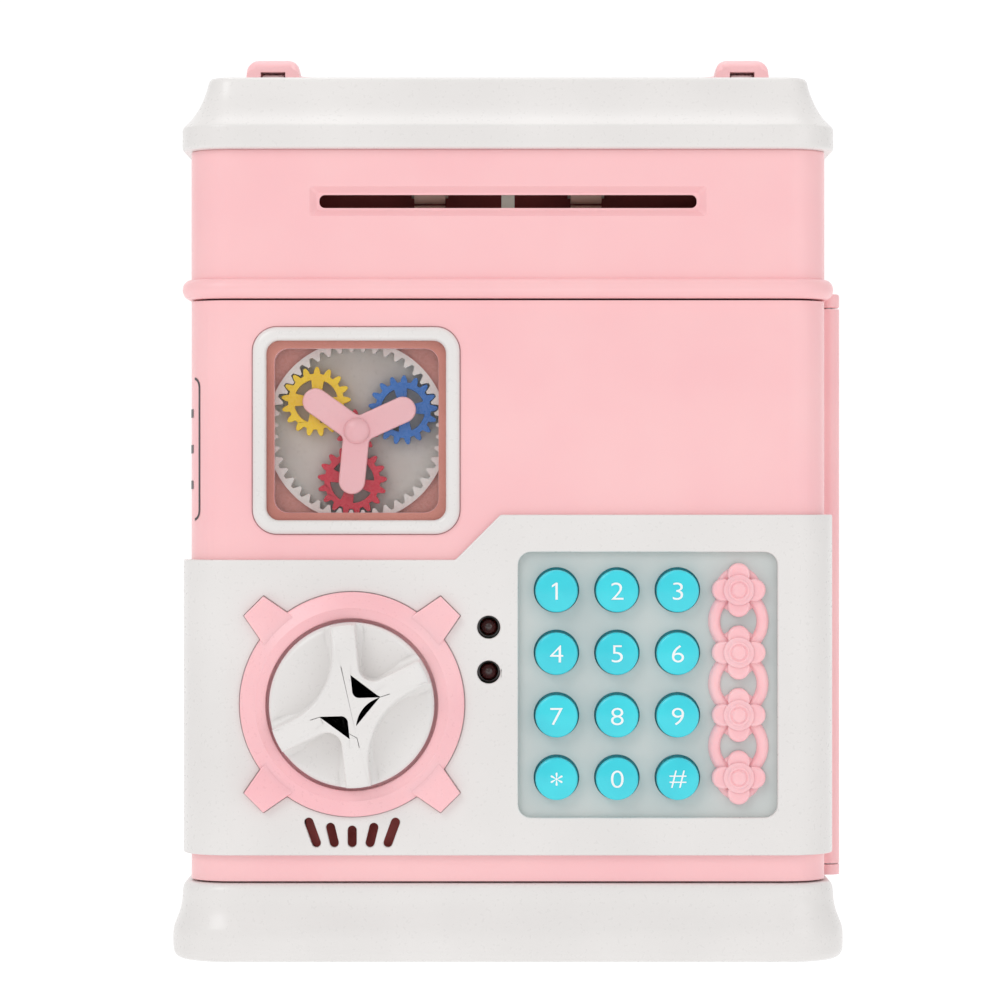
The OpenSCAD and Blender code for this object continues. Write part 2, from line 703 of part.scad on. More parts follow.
// Pink front shell of the door, with the gear pocket, screw posts and the hinge knuckle
module door_shell() {
    color("pink") difference() {
        union() {
            difference() {
                translate([0, 0, base_h + door_gap]) linear_extrude(door_top - base_h - 2 * door_gap)
                    polygon(door_plan(0, door_back));
                translate([0, 0, base_h + door_gap + wall])
                    linear_extrude(door_top - base_h - 2 * door_gap - 2 * wall)
                    polygon(door_plan(-wall, door_back + 1));
            }
            block([window_x - pocket_w / 2 - 1.6, inner_y - 0.5, window_z - pocket_w / 2 - 1.6],
                [window_x + pocket_w / 2 + 1.6, pocket_floor, window_z + pocket_w / 2 + 1.6]);
            for (sx = [-1, 1]) for (z = door_post_z)
                rod_y(sx * door_post_x, z, 3, inner_y - 0.5, cover_y - 0.1);
            for (p = board_posts) rod_y(p[0], p[1], 2, inner_y - 0.5, board_y);
            rod_y(dial_x, dial_z, 5.5, inner_y - 0.5, inner_y + 6);
            translate([hinge_x, hinge_y, knuckle_bottom])
                cylinder(r = knuckle_r, h = knuckle_top - 0.25 - knuckle_bottom);
            block([body_w / 2 - 1, hinge_y - knuckle_r, knuckle_bottom],
                [hinge_x, door_back, knuckle_top - 0.25]);
        }
        upright(front_y - 1, front_y + 1.2) translate([window_x, window_z])
            polygon(rounded(pocket_w, pocket_w, 2.6));
        upright(front_y, gear_front) translate([window_x, window_z])
            polygon(rounded(mask_w, mask_w, 3));
        upright(gear_front - 0.4, cover_y) translate([window_x, window_z])
            polygon(rounded(pocket_w - 0.3, pocket_w - 0.3, 2));
        upright(front_y - 1, inner_y + 1) translate([keypad_x, keypad_z])
            polygon(rounded(plate_w + 0.4, plate_h + 0.4, 3));
        rod_y(dial_x, dial_z, shaft_r + shaft_fit, front_y - 1, inner_y + 8);
        upright(front_y - 1, inner_y + 1) translate([dial_x, sound_z])
            polygon(rounded(sound_w, sound_h, 2));
        for (z = led_z) rod_y(led_x, z, 2.7, front_y - 1, inner_y + 1);
        for (sx = [-1, 1]) for (z = door_post_z)
            rod_y(sx * door_post_x, z, 1.22, front_y + 4, door_back);
        translate([hinge_x, hinge_y, 0]) cylinder(r = relief_r, h = knuckle_bottom);
        translate([hinge_x, hinge_y, knuckle_top - 0.25]) cylinder(r = relief_r, h = 10);
        translate([hinge_x, hinge_y, 0]) cylinder(r = hinge_pin_r + pin_fit, h = door_top + 10);
    }
}

// Flat cover that closes the back of the door and carries the latch
module door_inner_cover() {
    color("mistyrose") difference() {
        upright(cover_y, door_back) translate([0, (door_top + base_h) / 2])
            polygon(rounded(body_w - 2 * wall - 0.6, door_top - base_h - 2 * door_gap - 2 * wall - 0.6, 2));
        rod_y(dial_x, dial_z, shaft_r + shaft_fit, cover_y - 1, door_back + 1);
        for (sx = [-1, 1]) for (z = door_post_z) {
            rod_y(sx * door_post_x, z, 1.5, cover_y - 1, door_back + 1);
            rod_y(sx * door_post_x, z, 2.7, cover_y + 0.4, door_back + 1);
        }
    }
}

// Four screws that hold the door's back cover
module door_screws() {
    color("silver") for (sx = [-1, 1]) for (z = door_post_z)
        translate([sx * door_post_x, door_back - 0.05, z]) rotate([90, 0, 0]) union() {
            cylinder(r = 2.4, h = 0.95);
            cylinder(r = 1.2, h = 11);
        }
}

// White control fascia that wraps round the lower part of the door
module fascia() {
    step = fascia_top - fascia_left;
    shoulder = -11.2;
    color("white") difference() {
        translate([0, 0, fascia_bottom]) linear_extrude(fascia_top - fascia_bottom)
            polygon(door_plan(fascia_t, front_y + 13));
        translate([0, 0, fascia_bottom - 1]) linear_extrude(fascia_top)
            polygon(door_plan(0, front_y + 14));
        upright(front_y - 10, front_y + 20) polygon([[-90, fascia_left], [shoulder, fascia_left],
            [shoulder + step, fascia_top], [shoulder + step + 5, fascia_top + 5], [-90, fascia_top + 5]]);
        upright(front_y - 10, front_y + 1) translate([keypad_x, keypad_z])
            polygon(rounded(plate_w - 2.3, plate_h - 2.2, 2.8));
        rod_y(dial_x, dial_z, 14, front_y - 10, front_y + 1);
        for (z = led_z) rod_y(led_x, z, led_hole_r, front_y - 10, front_y + 1);
        for (s = slots) upright(front_y - 10, front_y + 1) sound_slot(s);
    }
}

// One slanting slot with round ends, between the two points of s
module sound_slot(s) {
    tilt = atan2(s[1][1] - s[0][1], s[1][0] - s[0][0]);
    polygon(concat(
        arc(dial_x + s[0][0], s[0][1], slot_half, tilt + 90, tilt + 270),
        arc(dial_x + s[1][0], s[1][1], slot_half, tilt - 90, tilt + 90)));
}

// ---------- Gear window ----------

// Square white frame round the window
module window_frame() {
    color("white") difference() {
        union() {
            upright(front_y - 0.7, front_y) translate([window_x, window_z])
                polygon(rounded(window_w, window_w, 5));
            upright(front_y - 1.4, front_y - 0.6) translate([window_x, window_z])
                polygon(rounded(window_w - 1.6, window_w - 1.6, 4.2));
        }
        upright(front_y - 3, front_y + 1) translate([window_x, window_z])
            polygon(rounded(pocket_w - 0.6, pocket_w - 0.6, 2.7));
    }
}

// Clear window behind the frame
module window_lens() {
    color([0.9, 0.95, 1, 0.3]) upright(front_y + 0.05, front_y + 1.05) translate([window_x, window_z])
        polygon(rounded(pocket_w - 0.2, pocket_w - 0.2, 2.5));
}

// Frosted plate behind the gears
module gear_back_plate() {
    color("whitesmoke") difference() {
        upright(plate_front, pocket_floor) translate([window_x, window_z])
            polygon(rounded(ring_w, ring_w, 2));
        rod_y(window_x, window_z, axle_r + 0.4, plate_front - 1, pocket_floor + 1);
    }
}

// Fixed ring gear: internal teeth in a square plate with a raised round rim
module ring_gear() {
    teeth = gear_outline(ring_n, dedendum, addendum, slack_deg / 2, 0);
    color("gainsboro") difference() {
        union() {
            upright(gear_front + 0.5, plate_front) translate([window_x, window_z])
                polygon(rounded(ring_w, ring_w, 2));
            intersection() {
                rod_y(window_x, window_z, 19.4, gear_front - 0.3, plate_front);
                upright(gear_front - 0.3, plate_front) translate([window_x, window_z])
                    square(ring_w - 0.02, center = true);
            }
        }
        upright(gear_front - 2, plate_front + 1) translate([window_x, window_z]) polygon(teeth);
    }
}

// Geared motor behind the pocket
module gear_motor() {
    color("silver") difference() {
        union() {
            rod_y(window_x, window_z, 6, pocket_floor + 0.1, cover_y - 0.3);
            upright(pocket_floor + 0.05, pocket_floor + 1) translate([window_x, window_z])
                polygon(rounded(30, 8, 3.5));
        }
        rod_y(window_x, window_z, axle_r + 0.04, front_y, pocket_floor + 7);
    }
}

// Sun gear with its axle
module sun_gear() {
    color("crimson") union() {
        upright(gear_front, gear_back) translate([window_x, window_z])
            polygon(gear_outline(sun_n, addendum, dedendum, -2 * slack_deg, sun_turn));
        rod_y(window_x, window_z, axle_r, front_y + 2.1, pocket_floor + 6);
    }
}

// One planet gear with four windows between its spokes
module planet(i) {
    a = carrier_angle + 120 * i;
    px = window_x + planet_d * cos(a);
    pz = window_z + planet_d * sin(a);
    difference() {
        upright(gear_front, gear_back) translate([px, pz])
            polygon(gear_outline(planet_n, addendum, dedendum, -slack_deg, planet_turn(i)));
        rod_y(px, pz, hinge_pin_r + pin_fit, gear_front - 1, gear_back + 1);
        for (k = [0:3]) upright(gear_front - 1, gear_back + 1) translate([px, pz])
            polygon(concat(arc(0, 0, 4.7, planet_turn(i) + 90 * k - 28, planet_turn(i) + 90 * k + 28, 5),
                arc(0, 0, 2.7, planet_turn(i) + 90 * k + 22, planet_turn(i) + 90 * k - 22, 3)));
    }
}

// Planet on the carrier's first arm
module planet_blue() {
    color("royalblue") planet(0);
}

// Planet on the carrier's second arm
module planet_yellow() {
    color("gold") planet(1);
}

// Planet on the carrier's third arm
module planet_red() {
    color("crimson") planet(2);
}

// Three-armed carrier with a domed hub and a pin behind the end of each arm
module gear_carrier() {
    arm_back = gear_front - 0.4;
    arm_front = arm_back - 1.6;
    dome_h = 1.5;
    hub_r = 2.8;
    ball_r = (hub_r * hub_r + dome_h * dome_h) / (2 * dome_h);
    color("pink") difference() {
        union() {
            for (i = [0:2]) let (a = carrier_angle + 120 * i) {
                upright(arm_front, arm_back) translate([window_x, window_z])
                    polygon(concat(arc(planet_d * cos(a), planet_d * sin(a), hub_r, a - 90, a + 90, 12),
                        [[-2.6 * sin(a), 2.6 * cos(a)], [2.6 * sin(a), -2.6 * cos(a)]]));
                rod_y(window_x + planet_d * cos(a), window_z + planet_d * sin(a), hinge_pin_r,
                    arm_back - 0.5, gear_back - 0.2);
            }
            rod_y(window_x, window_z, hub_r, arm_front, arm_back + 0.1);
            intersection() {
                translate([window_x, arm_front - dome_h + ball_r, window_z]) sphere(r = ball_r);
                rod_y(window_x, window_z, hub_r, arm_front - dome_h - 1, arm_front + 0.2);
            }
        }
        rod_y(window_x, window_z, axle_r + pin_fit, front_y + 2, gear_back);
    }
}

// ---------- Dial and latch ----------

// Pink ring with four flared tabs round the dial
module knob_bezel() {
    high = fascia_y - 2.5;
    color("lightpink") difference() {
        union() {
            translate([dial_x, fascia_y, dial_z]) rotate([90, 0, 0]) rotate_extrude()
                polygon([[dial_hole_r, 0], [bezel_r, 0], [bezel_r, 0.9], [20.6, 2.5], [dial_hole_r, 2.5]]);
            for (k = [0:3]) upright(fascia_y - 1.5, fascia_y) translate([dial_x, dial_z])
                rotate(45 + 90 * k)
                    polygon([[bezel_r - 2, -4.3], [29.5, -2.9], [29.5, 2.9], [bezel_r - 2, 4.3]]);
        }
        rod_y(dial_x, dial_z, dial_hole_r, high - 1, fascia_y + 1);
    }
}

// Scoop between two arms: edges along angles a0 and a1, tangent to an arc of radius r
function scoop(a0, a1, r) =
    let (mid = (a0 + a1) / 2, half = (a1 - a0) / 2, c = (r + arm_half) / sin(half))
    let (cx = c * cos(mid), cy = c * sin(mid))
    concat([[cx + r * cos(a0 - 90) + 30 * cos(a0), cy + r * sin(a0 - 90) + 30 * sin(a0)]],
        arc(cx, cy, r, a0 - 90, a1 - 270, 8),
        [[cx + r * cos(a1 - 270) + 30 * cos(a1), cy + r * sin(a1 - 270) + 30 * sin(a1)]]);

// White dial: a disc with a raised cross to grip
module dial_knob() {
    rim_y = fascia_y - 4.6;
    color("white") difference() {
        union() {
            translate([dial_x, fascia_y - 0.3, dial_z]) rotate([90, 0, 0]) rotate_extrude()
                polygon([[0, 0], [dial_r, 0], [dial_r, 3.5], [dial_r - 0.8, 4.3], [0, 5.5]]);
            difference() {
                rod_y(dial_x, dial_z, dial_r - 0.2, fascia_y - dial_out, rim_y + 1);
                for (k = [0:1]) {
                    upright(fascia_y - dial_out - 1, rim_y + 2) translate([dial_x, dial_z])
                        polygon(scoop(dial_arm + 180 * k, dial_arm + dial_gap + 180 * k, 3));
                    upright(fascia_y - dial_out - 1, rim_y + 2) translate([dial_x, dial_z])
                        polygon(scoop(dial_arm + dial_gap + 180 * k, dial_arm + 180 + 180 * k, 16));
                }
            }
        }
        rod_y(dial_x, dial_z, shaft_r + 0.01, fascia_y - 7, fascia_y + 1);
    }
}

// Dial shaft with the pinion that drives the bolt
module dial_shaft() {
    color("ivory") union() {
        rod_y(dial_x, dial_z, shaft_r, fascia_y - 6.9, latch_back + 1.5);
        upright(latch_front, latch_back) translate([dial_x, dial_z])
            polygon(gear_outline(sun_n, addendum, dedendum, -slack_deg, 180 / sun_n - 90));
    }
}

// Sliding bolt with its rack and the two notches that the lock plunger enters
module latch_bolt() {
    pitch = gear_m * PI;
    slope = tan(pressure);
    half = pitch / 4 - 0.05;
    color("ivory") difference() {
        union() {
            upright(latch_front, latch_back) polygon([[bolt_left, rack_z - 6], [-21, rack_z - 6],
                [-21, rack_z - dedendum], [bolt_left + 1, rack_z - dedendum], [bolt_left, rack_z - 1.8]]);
            for (k = [-1:4]) let (x = dial_x + k * pitch) upright(latch_front, latch_back)
                polygon([[x - half - (dedendum + 0.1) * slope, rack_z - dedendum - 0.1],
                    [x + half + (dedendum + 0.1) * slope, rack_z - dedendum - 0.1],
                    [x + half - addendum * slope, rack_z + addendum],
                    [x - half + addendum * slope, rack_z + addendum]]);
        }
        for (x = [plunger_x, plunger_x + bolt_travel])
            block([x - 1.8, latch_front - 1, rack_z - 7], [x + 1.8, latch_back + 1, rack_z - 2.6]);
    }
}

// Solenoid that holds the lock plunger, on the back of the door below the bolt
module lock_solenoid() {
    color("dimgray") difference() {
        union() {
            block([plunger_x - 5, door_back + 0.4, rack_z - 24],
                [plunger_x + 5, latch_back + 2, rack_z - 11]);
            block([plunger_x - 8, door_back + 0.05, rack_z - 24],
                [plunger_x + 8, door_back + 1.2, rack_z - 11]);
        }
        translate([plunger_x, plunger_y, rack_z - 22]) cylinder(r = 1.5 + pin_fit, h = 20);
    }
}

// Plunger that rises into a notch of the bolt and locks it
module lock_plunger() {
    color("silver") translate([plunger_x, plunger_y, rack_z - 21]) cylinder(r = 1.5, h = 14.4);
}

// Cover that keeps the bolt and pinion on the back of the door
module latch_cover() {
    posts = [[-54, dial_z + 7.5], [-16, dial_z + 7.5], [-54, rack_z - 8.5], [-16, rack_z - 8.5]];
    plate_y = latch_back + 0.3;
    color("whitesmoke") difference() {
        union() {
            upright(plate_y, plate_y + 1.5) translate([-35, (dial_z + rack_z) / 2])
                polygon(rounded(42, 24, 3));
            for (p = posts) rod_y(p[0], p[1], 1.8, door_back + 0.02, plate_y + 0.5);
        }
        rod_y(dial_x, dial_z, shaft_r + shaft_fit, plate_y - 1, plate_y + 3);
    }
}

// ---------- Keypad, lamps and sound ----------

// Middle of the key in column c (0 to 2) and row r (0 to 3, from the top)
function key_place(c, r) = [keypad_x - 6.55 + (c - 1) * key_dx, keypad_z + 0.2 + (1.5 - r) * key_dz];

// Grey plate that the keys stand in
module keypad_plate() {
    color("lightgray") difference() {
        upright(front_y, front_y + plate_t) translate([keypad_x, keypad_z])
            polygon(rounded(plate_w, plate_h, 2.8));
        for (c = [0:2]) for (r = [0:3])
            rod_y(key_place(c, r)[0], key_place(c, r)[1], key_hole_r, front_y - 1, front_y + 3);
    }
}

// One key: cap, retaining flange and stem
module key(c, r) {
    p = key_place(c, r);
    color("darkturquoise") translate([p[0], flange_y + 2.2, p[1] - key_sag]) rotate([90, 0, 0])
        rotate_extrude() polygon(concat([[0, 0], [2, 0], [2, 1.2], [5.6, 1.2], [5.6, 2.2], [key_r, 2.2]],
            arc(key_r - 0.7, flange_y + 1.3 - key_front, 0.7, 0, 70, 4),
            [[0, flange_y + 2.2 - key_front]]));
}

// Four flowers on three oval chain links, one moulding beside the keys
module flower_chain() {
    link_x = 6.45;
    link_z = 7;
    bar = 2.6;
    color("lightpink") union() {
        for (r = [0:2]) {
            middle = (key_place(0, r)[1] + key_place(0, r + 1)[1]) / 2;
            upright(front_y - 1.2, front_y) translate([flower_x, middle]) difference() {
                polygon(oval(link_x, link_z));
                polygon(oval(link_x - bar, link_z - bar));
            }
        }
        for (r = [0:3]) let (z = key_place(0, r)[1]) {
            rod_y(flower_x, z, 4.95, front_y - 1.2, front_y);
            for (k = [0:3]) rod_y(flower_x + 3.4 * cos(90 * k), z + 3.4 * sin(90 * k), 2.35,
                front_y - 2, front_y - 0.5);
            rod_y(flower_x, z, 3.3, front_y - 2.8, front_y - 0.5);
            rod_y(flower_x, z, 1.4, front_y - 3.6, front_y - 1);
        }
    }
}

// Silicone mat with a low dome behind each key
module key_mat() {
    color("gainsboro") union() {
        block([keypad_x - 27, board_y - 1, keypad_z - 27.5], [keypad_x + 17, board_y, keypad_z + 27.5]);
        for (c = [0:2]) for (r = [0:3]) let (p = key_place(c, r))
            rod_y(p[0], p[1], 3, board_y - 1.3, board_y - 0.5);
    }
}

// Circuit board behind the keypad
module control_board() {
    color("seagreen") upright(board_y, board_y + 1.6) difference() {
        polygon([board_low, [board_high[0], board_low[1]], board_high, [board_low[0], board_high[1]]]);
        for (p = board_posts) translate(p) circle(r = 1);
    }
}

// Lamp standing on the board: flange, round body and domed tip
module lamp(z) {
    tip = front_y + 1.2;
    translate([led_x, board_y, z]) rotate([90, 0, 0]) rotate_extrude()
        polygon(concat([[0, 0], [2.4, 0], [2.4, 0.8], [2, 0.8]], arc(0, board_y - tip - 2, 2, 0, 90, 8)));
}

// Upper lamp
module led_red() {
    color("darkred") lamp(led_z[0]);
}

// Lower lamp
module led_green() {
    color("darkgreen") lamp(led_z[1]);
}

// Round speaker behind the sound slots
module speaker() {
    color("dimgray") translate([dial_x, inner_y + 6, speaker_z]) rotate([90, 0, 0]) rotate_extrude()
        polygon([[0, 0], [5.5, 0], [5.5, 3.2], [8.2, 4.6], [10, 4.6], [10, 5.9], [8, 5.9], [3, 4.2],
            [0, 4.8]]);
}

// ---------- Nodes ----------

base_plinth();
rubber_feet();
battery_cover();
case_screws();
aa_cells();
battery_contacts();
body_shell();
upper_housing();
roof();
coin_chute();
mechanism_tray();
feed_motor();
hinge_pin();
handle_pins();
feed_roller();
feed_tyres();
motor_pinion();
pinch_roller();
note_flag();
handle();
door_shell();
door_inner_cover();
door_screws();
fascia();
window_frame();
window_lens();
gear_back_plate();
ring_gear();
gear_motor();
knob_bezel();
keypad_plate();
flower_chain();
key_mat();
control_board();
led_red();
led_green();
speaker();
lock_solenoid();
latch_cover();
dial_knob();
dial_shaft();
latch_bolt();
lock_plunger();
gear_carrier();
sun_gear();
planet_yellow();
planet_blue();
planet_red();
key(0, 0);  // key_1
key(1, 0);  // key_2
key(2, 0);  // key_3
key(0, 1);  // key_4
key(1, 1);  // key_5
key(2, 1);  // key_6
key(0, 2);  // key_7
key(1, 2);  // key_8
key(2, 2);  // key_9
key(0, 3);  // key_star
key(1, 3);  // key_0
key(2, 3);  // key_hash
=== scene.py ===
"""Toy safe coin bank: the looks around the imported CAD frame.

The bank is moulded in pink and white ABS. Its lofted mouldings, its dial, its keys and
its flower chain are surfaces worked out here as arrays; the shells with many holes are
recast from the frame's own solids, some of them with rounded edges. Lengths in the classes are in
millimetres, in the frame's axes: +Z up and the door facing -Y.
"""

from __future__ import annotations

import json
import logging
import math
from dataclasses import dataclass
from enum import Enum

import bmesh
import bpy
import numpy as np
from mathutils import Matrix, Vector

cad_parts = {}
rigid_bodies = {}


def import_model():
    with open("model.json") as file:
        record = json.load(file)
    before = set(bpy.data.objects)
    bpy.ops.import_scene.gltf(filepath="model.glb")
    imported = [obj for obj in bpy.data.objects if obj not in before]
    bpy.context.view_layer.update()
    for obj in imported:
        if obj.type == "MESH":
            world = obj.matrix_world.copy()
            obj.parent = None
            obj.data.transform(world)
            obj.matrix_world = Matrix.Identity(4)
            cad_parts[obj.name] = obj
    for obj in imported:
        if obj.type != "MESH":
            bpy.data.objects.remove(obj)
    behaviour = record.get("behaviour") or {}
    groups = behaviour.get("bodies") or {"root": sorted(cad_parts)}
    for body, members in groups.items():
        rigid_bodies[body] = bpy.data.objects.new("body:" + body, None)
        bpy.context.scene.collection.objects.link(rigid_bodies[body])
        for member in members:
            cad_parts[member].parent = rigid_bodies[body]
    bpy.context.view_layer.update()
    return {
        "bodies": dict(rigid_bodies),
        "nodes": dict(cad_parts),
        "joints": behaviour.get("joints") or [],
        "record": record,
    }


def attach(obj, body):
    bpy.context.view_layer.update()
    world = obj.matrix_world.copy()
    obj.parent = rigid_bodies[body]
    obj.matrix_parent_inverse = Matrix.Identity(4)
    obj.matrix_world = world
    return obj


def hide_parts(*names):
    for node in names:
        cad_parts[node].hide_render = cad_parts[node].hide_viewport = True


LOG = logging.getLogger("coin_bank")
MM = 0.001
FRONT_Y = -59.0
BODY_W = 136.0
BODY_D = 118.0
CORNER_R = 9.0
FASCIA_Y = -60.7
Array = np.ndarray


class Body(Enum):
    """The frame's bodies that new pieces ride on."""

    CABINET = "cabinet"
    DOOR = "door"
    DIAL = "dial"
    HANDLE = "handle"
    CARRIER = "carrier"


class Slot(Enum):
    """The record's material slots."""

    PINK = "pink_plastic"
    WHITE = "white_plastic"
    TEAL = "teal_plastic"
    FLOWER = "flower_pink"
    BLACK = "black_plastic"


# ---------------------------------------------------------------- small tools


def linear(hex_code: str) -> tuple[float, float, float, float]:
    """Turns an sRGB hex colour into linear RGBA.

    Args:
        hex_code: Six hex digits, such as "FBC4C6".

    Returns:
        The colour as linear red, green and blue with an alpha of 1.
    """
    srgb = np.array([int(hex_code[i : i + 2], 16) / 255 for i in (0, 2, 4)])
    low, high = srgb / 12.92, ((srgb + 0.055) / 1.055) ** 2.4
    return (*np.where(srgb <= 0.04045, low, high).tolist(), 1.0)


def add_node(
    tree: bpy.types.NodeTree, kind: str, inputs: dict | None = None, **settings: object
) -> bpy.types.Node:
    """Adds a shader node, sets its properties and fills or links its inputs.

    Args:
        tree: The node tree.
        kind: The node's type name.
        inputs: Input name or index to a value or to another node's output socket.
        **settings: Properties of the node itself.

    Returns:
        The new node.
    """
    node = tree.nodes.new(kind)
    for key, value in settings.items():
        setattr(node, key, value)
    for key, value in (inputs or {}).items():
        if isinstance(value, bpy.types.NodeSocket):
            tree.links.new(value, node.inputs[key])
        else:
            node.inputs[key].default_value = value
    return node


def smooth_path(points: list[tuple[float, float]], steps: int) -> Array:
    """Curve through points: a Catmull-Rom spline, sampled evenly between each pair.

    Args:
        points: The points that the curve passes through.
        steps: Samples between two neighbouring points.

    Returns:
        The samples, one row each.
    """
    p = np.array(points, float)
    q = np.vstack([2 * p[0] - p[1], p, 2 * p[-1] - p[-2]])
    t = np.linspace(0, 1, steps, endpoint=False)[None, :, None]
    a, b, c, d = (q[i : i + len(p) - 1, None, :] for i in range(4))
    square, cube = 2 * a - 5 * b + 4 * c - d, 3 * b - a - 3 * c + d
    run = 0.5 * (2 * b + (c - a) * t + square * t**2 + cube * t**3)
    return np.vstack([run.reshape(-1, p.shape[1]), p[-1:]])


def rounded_outline(width: Array, depth: Array, radius: Array, steps: int = 16) -> Array:
    """Rounded rectangles about the origin: four quarter circles joined by straight runs.

    Args:
        width: Full width of each rectangle.
        depth: Full depth of each rectangle.
        radius: Corner radius of each rectangle.
        steps: Parts in each quarter circle.

    Returns:
        Points of each rectangle, counter-clockwise, as (rectangles, points, 2).
    """
    width, depth, radius = (
        np.atleast_1d(np.asarray(v, float))[:, None] for v in (width, depth, radius)
    )
    quarter = np.linspace(0, np.pi / 2, steps + 1)
    angle = np.concatenate([quarter + k * np.pi / 2 for k in range(4)])[None, :]
    side_x = np.repeat([1, -1, -1, 1], steps + 1)[None, :]
    side_y = np.repeat([1, 1, -1, -1], steps + 1)[None, :]
    x = side_x * (width / 2 - radius) + radius * np.cos(angle)
    y = side_y * (depth / 2 - radius) + radius * np.sin(angle)
    return np.stack([x, y], axis=-1)


def grid_faces(rows: int, cols: int, wrap_rows: bool, wrap_cols: bool, start: int = 0) -> Array:
    """Quads of a grid of points stored row by row, closed on itself where it wraps.

    Args:
        rows: Rows of points.
        cols: Points in each row.
        wrap_rows: Whether the last row joins the first.
        wrap_cols: Whether the last column joins the first.
        start: Number of the first point.

    Returns:
        The quads, as rows of four point numbers.
    """
    r = np.arange(rows if wrap_rows else rows - 1)[:, None]
    c = np.arange(cols if wrap_cols else cols - 1)[None, :]
    r2, c2 = (r + 1) % rows, (c + 1) % cols
    quads = np.stack([r * cols + c, r * cols + c2, r2 * cols + c2, r2 * cols + c], axis=-1)
    return quads.reshape(-1, 4) + start


@dataclass
class Skin:
    """Points and faces of one surface, added to as parts are made, in millimetres."""

    points: list
    faces: list

    @classmethod
    def empty(cls) -> Skin:
        """A skin with nothing in it."""
        return cls([], [])

    def add_grid(
        self, grid: Array, wrap_rows: bool = False, wrap_cols: bool = True, caps: str = ""
    ) -> Skin:
        """Adds a grid of points as quads.

        Args:
            grid: Points as (rows, columns, 3).
            wrap_rows: Whether the last row joins the first.
            wrap_cols: Whether the last column joins the first.
            caps: "a" closes the first row with one face and "b" the last.

        Returns:
            This skin.
        """
        rows, cols = grid.shape[:2]
        start = len(self.points)
        self.points.extend(grid.reshape(-1, 3).tolist())
        self.faces.extend(grid_faces(rows, cols, wrap_rows, wrap_cols, start).tolist())
        if "a" in caps:
            self.faces.append(list(range(start + cols - 1, start - 1, -1)))
        if "b" in caps:
            self.faces.append(list(range(start + (rows - 1) * cols, start + rows * cols)))
        return self

    def build(self, name: str, crease: float = 38.0) -> bpy.types.Object:
        """Makes the skin an object, its faces pointing outwards and smooth up to crease.

        Args:
            name: The object's name.
            crease: Angle in degrees past which an edge is sharp.

        Returns:
            The object, linked to the scene.
        """
        mesh = bpy.data.meshes.new(name)
        mesh.from_pydata((np.array(self.points) * MM).tolist(), [], self.faces)
        tidy_mesh(mesh, crease)
        piece = bpy.data.objects.new(name, mesh)
        bpy.context.scene.collection.objects.link(piece)
        return piece


def tidy_mesh(mesh: bpy.types.Mesh, crease: float) -> None:
    """Merges doubled points, turns faces outwards and shades smooth up to an angle.

    Args:
        mesh: The mesh, changed in place.
        crease: Angle in degrees past which an edge is sharp.
    """
    work = bmesh.new()
    work.from_mesh(mesh)
    bmesh.ops.remove_doubles(work, verts=work.verts, dist=1e-6)
    bmesh.ops.recalc_face_normals(work, faces=work.faces)
    work.to_mesh(mesh)
    work.free()
    mesh.polygons.foreach_set("use_smooth", np.ones(len(mesh.polygons), bool))
    mesh.set_sharp_from_angle(angle=math.radians(crease))


def placed(flat: Array, depth: Array | float, along: str = "y") -> Array:
    """Puts flat points at a depth along an axis.

    Args:
        flat: Points as (..., 2): X and Z for "y", Y and Z for "x", X and Y for "z".
        depth: Depth of each point, or one that all share.
        along: The axis that the depth runs along.

    Returns:
        The points as (..., 3).
    """
    depth = np.broadcast_to(np.asarray(depth, float), flat.shape[:-1])
    order = {"y": (flat[..., 0], depth, flat[..., 1]), "x": (depth, flat[..., 0], flat[..., 1])}
    return np.stack(order.get(along, (flat[..., 0], flat[..., 1], depth)), axis=-1)


def turned(profile: Array, centre: tuple[float, float], along: str = "y", steps: int = 96) -> Array:
    """Surface of revolution: each profile point sweeps a circle about a line.

    Args:
        profile: Rows of (radius, depth along the line).
        centre: The line's two other coordinates.
        along: The axis that the line lies along.
        steps: Points round the circle.

    Returns:
        A grid of one row for each profile point.
    """
    angle = np.linspace(0, 2 * np.pi, steps, endpoint=False)
    circle = np.stack([np.cos(angle), np.sin(angle)], axis=-1)
    flat = np.array(centre) + profile[:, None, :1] * circle[None]
    return placed(flat, profile[:, 1:2], along)


def outward(outline: Array) -> Array:
    """Unit normals of a closed counter-clockwise outline, from its neighbours' chord.

    Args:
        outline: Closed counter-clockwise flat points.

    Returns:
        One unit normal for each point.
    """
    chord = np.roll(outline, -1, axis=0) - np.roll(outline, 1, axis=0)
    chord /= np.linalg.norm(chord, axis=1, keepdims=True) + 1e-12
    return np.stack([chord[:, 1], -chord[:, 0]], axis=-1)


def plate_grid(outline: Array, profile: Array, along: str = "y") -> Array:
    """Carries an edge profile round an outline: each ring is the outline grown by an offset.

    Args:
        outline: Closed counter-clockwise flat points.
        profile: Rows of (offset outwards, depth).
        along: The axis that the depth runs along.

    Returns:
        A grid of one row for each profile point.
    """
    flat = outline[None] + profile[:, None, :1] * outward(outline)[None]
    return placed(flat, profile[:, 1:2], along)


def round_edge(radius: float, back: float, front: float, steps: int = 5) -> Array:
    """Edge profile of a plate: a straight wall, then a quarter circle over its front edge.

    Args:
        radius: Radius of the edge.
        back: Depth where the wall starts.
        front: Depth of the front face.
        steps: Parts in the quarter circle.

    Returns:
        Rows of (offset outwards, depth).
    """
    turn = np.linspace(0, np.pi / 2, steps + 1)
    inwards = math.copysign(1, back - front)
    level = front + inwards * radius * (1 - np.sin(turn))
    arc = np.stack([radius * (np.cos(turn) - 1), level], axis=-1)
    return np.vstack([[0.0, back], arc])


